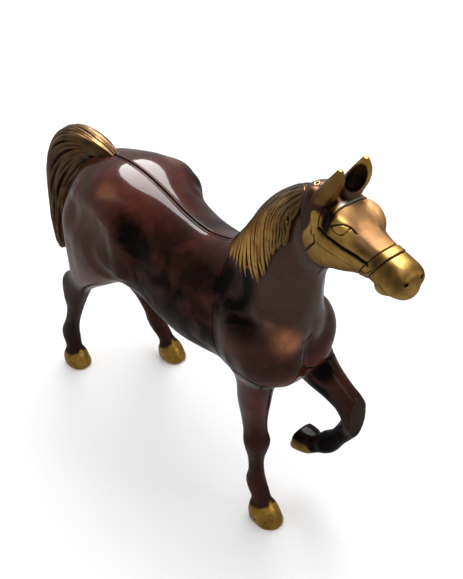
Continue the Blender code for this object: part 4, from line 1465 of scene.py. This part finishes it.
def make_tail(finish):
    """Strands of uneven length round a core. Every third one reaches further down."""
    rng = np.random.default_rng(11)
    last = len(TAIL) - 1
    solids = [loft(TAIL, first=0.5, last=last - 0.3, grow=-1.7, sides=48)]
    for k in range(TAIL_STRANDS):
        turn = 2 * math.pi * (k + rng.uniform(-0.2, 0.2)) / TAIL_STRANDS
        end = last - rng.uniform(0.05, 2.6) * (0.3 + 0.7 * (k % 3 > 0))
        places = np.linspace(0.5, end, 110)
        share = places / last
        turns = turn + 0.5 * share + 0.10 * np.sin(places * 1.1 + k * 2.1) * share
        rows = spline(TAIL, places)
        lift = -1.25 + 0.3 * np.sin(places * 1.7 + k * 1.3)
        path = on_sections(rows, turns, lift)
        around = 0.5 * (rows[:, 5] + np.hypot(rows[:, 0] - rows[:, 2], rows[:, 1] - rows[:, 3]) / 2)
        radii = np.clip(around * (2.5 * math.pi / TAIL_STRANDS / 2), 0.5, 1.5)
        radii = radii * (1 - 0.85 * ease(places, end - 1.6, end)) * ease(places, 0.0, 1.8)
        solids.append(tube(path, radii, 12))
    field = Field(*GRIDS["tail"])
    field.add(joined(solids))
    points, quads = field.mesh(2, whole=False)
    deep = np.clip(recesses(points, quads, 12, 0.10), 0, 1)
    deep = np.maximum(deep, 0.65 * ease(points[:, 0], -104, -88))
    place_piece("tail_casting", points, quads, finish, ["tail"], {"dark": deep})


# ---- stage, light and camera -------------------------------------------------------------------

CAMERA_AZIMUTH, CAMERA_ELEVATION, CAMERA_ROLL = 51.0, 40.8, -1.9
CAMERA_AIM = (29.6, 0.0, 154.4)
CAMERA_DISTANCE = 728
CAMERA_LENS = 74.6


def posed(azimuth, elevation, roll, aim, distance):
    """Where something stands that faces aim from this azimuth, elevation and distance."""
    a, e = math.radians(azimuth), math.radians(elevation)
    back = Vector((math.sin(a) * math.cos(e), -math.cos(a) * math.cos(e), math.sin(e)))
    right = Vector((math.cos(a), math.sin(a), 0))
    turn = Matrix((right, back.cross(right), back)).transposed().to_4x4()
    turn = turn @ Matrix.Rotation(math.radians(roll), 4, "Z")
    return Matrix.Translation(Vector(aim) + back * distance) @ turn


def add_camera():
    data = bpy.data.cameras.new("camera")
    data.lens = CAMERA_LENS
    data.clip_start = 0.01
    camera = bpy.data.objects.new("camera", data)
    camera.matrix_world = posed(
        CAMERA_AZIMUTH, CAMERA_ELEVATION, CAMERA_ROLL, home(CAMERA_AIM), CAMERA_DISTANCE * UNIT
    )
    bpy.context.scene.collection.objects.link(camera)
    bpy.context.scene.camera = camera


LIGHT_AIM = (0, 0, 0.12)  # what the lights face, in metres


def softbox(
    name, azimuth, elevation, distance, size, radiance, roll=0, mirrored=True, lights=True
):
    """A soft oval light that faces the statue. It shows in the gloss only if mirrored, and
    brightens dull surfaces only if it lights."""
    data = bpy.data.lights.new(name, "AREA")
    data.shape = "ELLIPSE"
    data.size, data.size_y = size
    data.energy = radiance * math.pi * size[0] * size[1]
    light = bpy.data.objects.new(name, data)
    light.matrix_world = posed(azimuth, elevation, roll, LIGHT_AIM, distance)
    light.visible_glossy = mirrored
    light.visible_diffuse = lights
    bpy.context.scene.collection.objects.link(light)


SKY = [  # direction, cosines from it where a light begins and is full, strength outside and inside
    ((0.0, 0.0, 1.0), 0.1, 0.9, 0.38, 0.26),
    ((-0.6, 0.4, 0.5), 0.5, 1.0, 0.0, 0.12),
]


def add_sky():
    """Dim light from all round: less from straight above, and more from behind on the left."""
    world = bpy.data.worlds.new("studio")
    bpy.context.scene.world = world
    n = Nodes(world)
    where = n.node("ShaderNodeTexCoord").outputs["Generated"]
    light = None
    for direction, low, high, outside, inside in SKY:
        inputs = {0: where, 1: Vector(direction).normalized()}
        dot = n.node("ShaderNodeVectorMath", inputs, operation="DOT_PRODUCT").outputs["Value"]
        part = n.fit(dot, low, high, outside, inside)
        light = n.math("ADD", light, part) if light else part
    background = n.tree.nodes["Background"]
    background.inputs["Color"].default_value = (1.0, 1.0, 1.0, 1.0)
    n.tree.links.new(light, background.inputs["Strength"])


FLOOR_HALF = 4.0  # metres
FLOOR_HEIGHT = -0.0003  # just under the soles


def add_stage():
    mesh = bpy.data.meshes.new("floor")
    corners = [(FLOOR_HALF * x, FLOOR_HALF * y, 0) for x, y in ((-1, -1), (1, -1), (1, 1), (-1, 1))]
    mesh.from_pydata(corners, [], [(0, 1, 2, 3)])
    mesh.materials.append(pale_floor())
    floor = bpy.data.objects.new("floor", mesh)
    floor.location.z = FLOOR_HEIGHT
    floor.visible_glossy = False
    bpy.context.scene.collection.objects.link(floor)
    softbox("softbox_behind", 226, 57, 1.1, (0.58, 1.40), 13.5, roll=27, lights=False)
    softbox("softbox_left", -30, 28, 1.3, (0.7, 1.0), 1.1, mirrored=False)
    softbox("softbox_camera", 66, 52, 1.6, (0.9, 0.6), 1.15)
    softbox("softbox_right", 118, 25, 1.3, (0.35, 0.8), 1.7)
    softbox("fill_above", 215, 70, 1.9, (3.6, 3.6), 1.30, mirrored=False)
    add_sky()
    bpy.context.scene.view_settings.view_transform = "Standard"


bronze = lacquered_bronze()
make_body(bronze)
gold = gold_brass()
make_head(gold)
make_ears(gold)
make_mane(strand_brass("mane_brass_looks", (0.78, 0.48, 0.15), (0.46, 0.23, 0.065)))
make_tail(strand_brass("tail_bronze_looks", (0.18, 0.095, 0.036), (0.070, 0.033, 0.013)))
brass = dowel_brass()
make_poll_pin(brass)
for name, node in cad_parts.items():
    if "dowel" in name:
        for slot in node.material_slots:
            slot.material = brass
add_stage()
add_camera()
